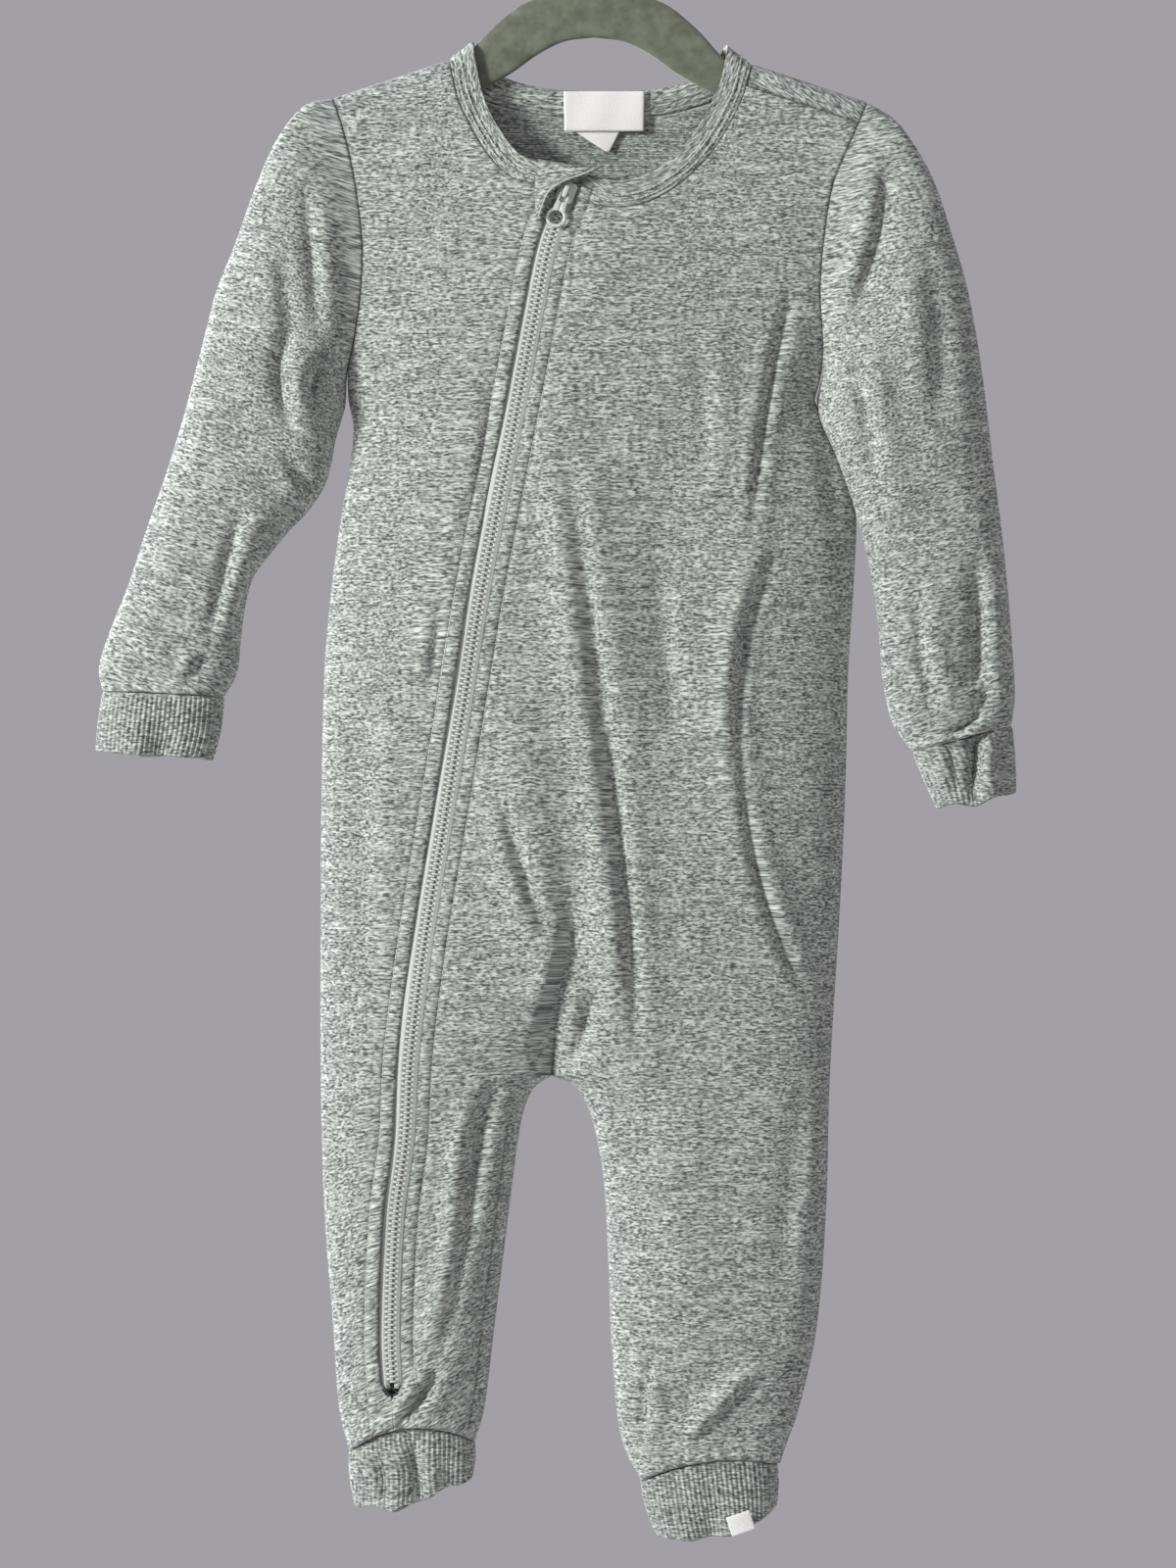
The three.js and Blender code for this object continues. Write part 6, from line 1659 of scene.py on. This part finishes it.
def terry_finish():
    """The loops on the inside run in fine rows across."""
    finish = Finish("terry", 1.0, sheen=0.35, specular=0.1)
    rows = finish.wave((0.0011, 0.0011, 1), "Y", 2.0)
    base = finish.blend(heather(finish, 0.009, 11, 0.8, 0.8), HEATHER_DARK, finish.ramp(rows, 0.5, 0, 0, 0.2))
    return finish.colour(base).relief((rows, 0.00025), (finish.noise((0.001, 0.0006, 1), 5), 0.0003)).material


def rib_finish():
    finish = Finish("rib", 0.95, sheen=0.25, specular=0.12)
    finish.colour(shaded(finish, heather(finish, 0.0045, 21, 0.6, 1.0), 0.75))
    return finish.relief((finish.wave((0.0009, 0.0009, 1), "Y", 1.0), 0.00015)).material


def tape_finish():
    finish = Finish("zip_tape", 0.8, sheen=0.1, specular=0.2)
    weave = finish.wave((0.0007, 0.0007, 1), "Y", 0.5)
    patches = finish.ramp(finish.noise((0.001, 0.0006, 1)), 0.4, 0.7)
    base = finish.blend(linear(206, 209, 203), linear(182, 185, 179), patches)
    return finish.colour(base).relief((weave, 0.00012)).material


def teeth_finish():
    return Finish("zip_chain", 0.42, specular=0.45).colour(linear(198, 201, 195)).material


def metal_finish():
    finish = Finish("zip_metal", 0.45, specular=0.5)
    worn = finish.noise((0.003, 0.003, 0.003), 1, source="object")
    base = finish.blend(linear(190, 196, 189), linear(206, 211, 204), finish.ramp(worn, 0.35, 0.65))
    return finish.colour(base).material


def label_finish():
    finish = Finish("label", 0.75, sheen=0.15, specular=0.25)
    weave = finish.noise((0.0009, 0.0004, 1), 2)
    base = finish.blend(linear(238, 236, 233), linear(222, 220, 217), finish.ramp(weave, 0.4, 0.7))
    return finish.colour(base).relief((weave, 0.0001)).material


def flock_finish():
    finish = Finish("flock", 1.0, sheen=0.35, specular=0.08)
    nap = finish.noise((0.006, 0.006, 0.006), 4, 6.0, "object")
    pile = finish.noise((0.0004, 0.0004, 0.0004), 7, 2.0, "object")
    base = finish.blend(linear(92, 97, 82), linear(117, 121, 105), finish.ramp(nap, 0.35, 0.7))
    return finish.colour(base).relief((pile, 0.00015)).material


def wire_finish():
    finish = Finish("hook_wire", 0.16, metallic=1.0, specular=0.5)
    return finish.colour(linear(196, 197, 199)).material


def thread_finish(name, colour):
    return Finish(name, 0.75, sheen=0.1, specular=0.25).colour(colour).material


JERSEY, TERRY, RIB, TAPE = jersey_finish(), terry_finish(), rib_finish(), tape_finish()
LABEL, METAL = label_finish(), metal_finish()

# Each cloth piece: what makes it, the materials of its outside and inside, the slot that both take, and the
# width and length of its cut and its area, in metres and square metres
CLOTH_PIECES = [
    ("front_right", front_right, (JERSEY, TERRY), "jersey", (0.135, 0.665), 0.0380),
    ("front_left", front_left, (JERSEY, TERRY), "jersey", (0.245, 0.685), 0.1060),
    ("back", back, (JERSEY, TERRY), "jersey", (0.290, 0.680), 0.1490),
    ("sleeve_right", lambda: sleeve(SLEEVE_RIGHT, "left", (-0.28, 0.96), SLEEVE_RIGHT_CREASES),
     (JERSEY, TERRY), "jersey", (0.260, 0.270), 0.0420),
    ("sleeve_left", lambda: sleeve(SLEEVE_LEFT, "right", (0.2, 0.98), SLEEVE_LEFT_CREASES),
     (JERSEY, TERRY), "jersey", (0.260, 0.290), 0.0450),
    ("neckband", neckband, (JERSEY, JERSEY), "jersey", (0.400, 0.013), 0.0050),
    ("wrist_cuff_right", lambda: cuff(WRIST_RIGHT, 1, hem=0.35), (RIB, RIB), "rib", (0.120, 0.033), 0.0039),
    ("wrist_cuff_left", lambda: cuff(WRIST_LEFT, 2, WRIST_LEFT_CREASES), (RIB, RIB), "rib", (0.105, 0.036), 0.0036),
    ("ankle_cuff_right", lambda: cuff(ANKLE_RIGHT, 3, ANKLE_RIGHT_CREASES), (RIB, RIB), "rib", (0.125, 0.032), 0.0038),
    ("ankle_cuff_left", lambda: cuff(ANKLE_LEFT, 4, hem=0.6), (RIB, RIB), "rib", (0.135, 0.032), 0.0041),
    ("zip_tape_right", lambda: zip_tape(-1), (TAPE, TAPE), "zip_tape", (0.0117, 0.570), 0.0066),
    ("zip_tape_left", lambda: zip_tape(1), (TAPE, TAPE), "zip_tape", (0.0117, 0.570), 0.0066),
    ("zip_garage", zip_garage, (JERSEY, JERSEY), "jersey", (0.030, 0.030), 0.00045),
    ("neck_label", lambda: label(NECK_LABEL), (LABEL, LABEL), "label", (0.038, 0.0188), 0.0007),
    ("care_label", lambda: label(CARE_LABEL), (LABEL, LABEL), "label", (0.022, 0.018), 0.00028),
    ("ankle_tag", ankle_tag, (LABEL, LABEL), "label", (0.0115, 0.0100), 0.00011),
]


# Distances of the outside and the inside from the middle of the wall
SLOT_FACES = {"jersey": (OUTSIDE, INSIDE), "rib": (OUTSIDE, INSIDE), "zip_tape": (0.45, 0.45), "label": (0.25, 0.25)}
PIECE_FACES = {"neckband": (1.1, 0.9), "zip_garage": (0.8, 0.6)}

for name, make, finishes, slot, flat, area in CLOTH_PIECES:
    outside, inside = PIECE_FACES.get(name, SLOT_FACES[slot])
    piece = make().build(f"{name}_cloth", finishes, outside, inside)
    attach(piece, "garment")
    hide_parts(name)

HARD_PIECES = [
    ("zip_chain", zip_teeth, teeth_finish(), "zip_chain", "garment"),
    ("zip_slider", zip_slider, METAL, "zip_metal", "garment"),
    ("pull_tab", pull_tab, METAL, "zip_metal", "pull_tab"),
    ("hanger", hanger, flock_finish(), "flock", "garment"),
    ("hanger_hook", hanger_hook, wire_finish(), "hook_wire", "garment"),
]
for name, make, finish, slot, body in HARD_PIECES:
    piece = mesh_object(f"{name}_shape", *make(), [finish])
    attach(piece, body)
    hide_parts(name)

SOFT_THREAD = thread_finish("thread", (0.52, 0.55, 0.50, 1))
DARK_THREAD = thread_finish("dark_thread", (0.03, 0.032, 0.04, 1))
THREADS = [
    ("zip_stitches", lambda: joined([zip_stitching(1), zip_stitching(-1)]), SOFT_THREAD),
    ("band_stitches", lambda: joined([band_stitching(share) for share in BAND_STITCHES]), SOFT_THREAD),
    ("garage_stitches", garage_stitching, SOFT_THREAD),
    ("zip_bartack", bartack, DARK_THREAD),
]
for name, make, finish in THREADS:
    piece = mesh_object(name, *make(), [finish])
    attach(piece, "garment")

# Camera: straight at the front, as the photograph was taken
FRAME_HIGH = 728
SENSOR_HIGH = 36
CAMERA_AWAY = 2400
CAMERA_AT = (-2.7, -8 - CAMERA_AWAY, -435.8)
camera = bpy.data.objects.new("camera", bpy.data.cameras.new("camera"))
camera.location = [value * MM for value in CAMERA_AT]
camera.rotation_euler = (math.pi / 2, 0, 0)
camera.data.sensor_fit = "VERTICAL"
camera.data.sensor_height = SENSOR_HIGH
camera.data.lens = SENSOR_HIGH * CAMERA_AWAY / FRAME_HIGH
bpy.context.scene.collection.objects.link(camera)
bpy.context.scene.camera = camera


def area_light(name, place, aim, size, power, colour=(1, 1, 1)):
    lamp = bpy.data.objects.new(name, bpy.data.lights.new(name, "AREA"))
    lamp.data.shape = "DISK"
    lamp.data.size = size
    lamp.data.energy = power
    lamp.data.color = colour
    lamp.location = place
    ahead = np.array(aim, float) - np.array(place, float)
    lamp.rotation_euler = (math.atan2(math.hypot(ahead[0], ahead[1]), -ahead[2]), 0, math.atan2(-ahead[0], ahead[1]))
    bpy.context.scene.collection.objects.link(lamp)


MIDDLE = (0, 0, -0.45)
area_light("window", (-2.15, -1.25, 0.3), MIDDLE, 0.55, 82, (0.97, 1, 0.985))
area_light("room", (1.6, -1.7, 0.3), MIDDLE, 2.0, 4, (1, 0.95, 0.86))
area_light("behind", (-1.8, 1.5, 0.4), MIDDLE, 0.8, 62)
world = bpy.data.worlds.new("room")
world.use_nodes = True
world.node_tree.nodes["Background"].inputs["Color"].default_value = (0.36, 0.35, 0.378, 1)
world.node_tree.nodes["Background"].inputs["Strength"].default_value = 1.0
bpy.context.scene.world = world
bpy.context.scene.view_settings.view_transform = "Standard"

FLOOR_Z = -1000
FLOOR_RADIUS = 550
FLOOR_THICK = 10
bpy.ops.mesh.primitive_cylinder_add(
    vertices=96, radius=FLOOR_RADIUS * MM, depth=FLOOR_THICK * MM, location=(0, 0, (FLOOR_Z - FLOOR_THICK / 2) * MM))
floor = bpy.context.object
floor.name = "floor"
floor.data.materials.append(Finish("floor", 0.7).colour((0.55, 0.53, 0.56, 1)).material)
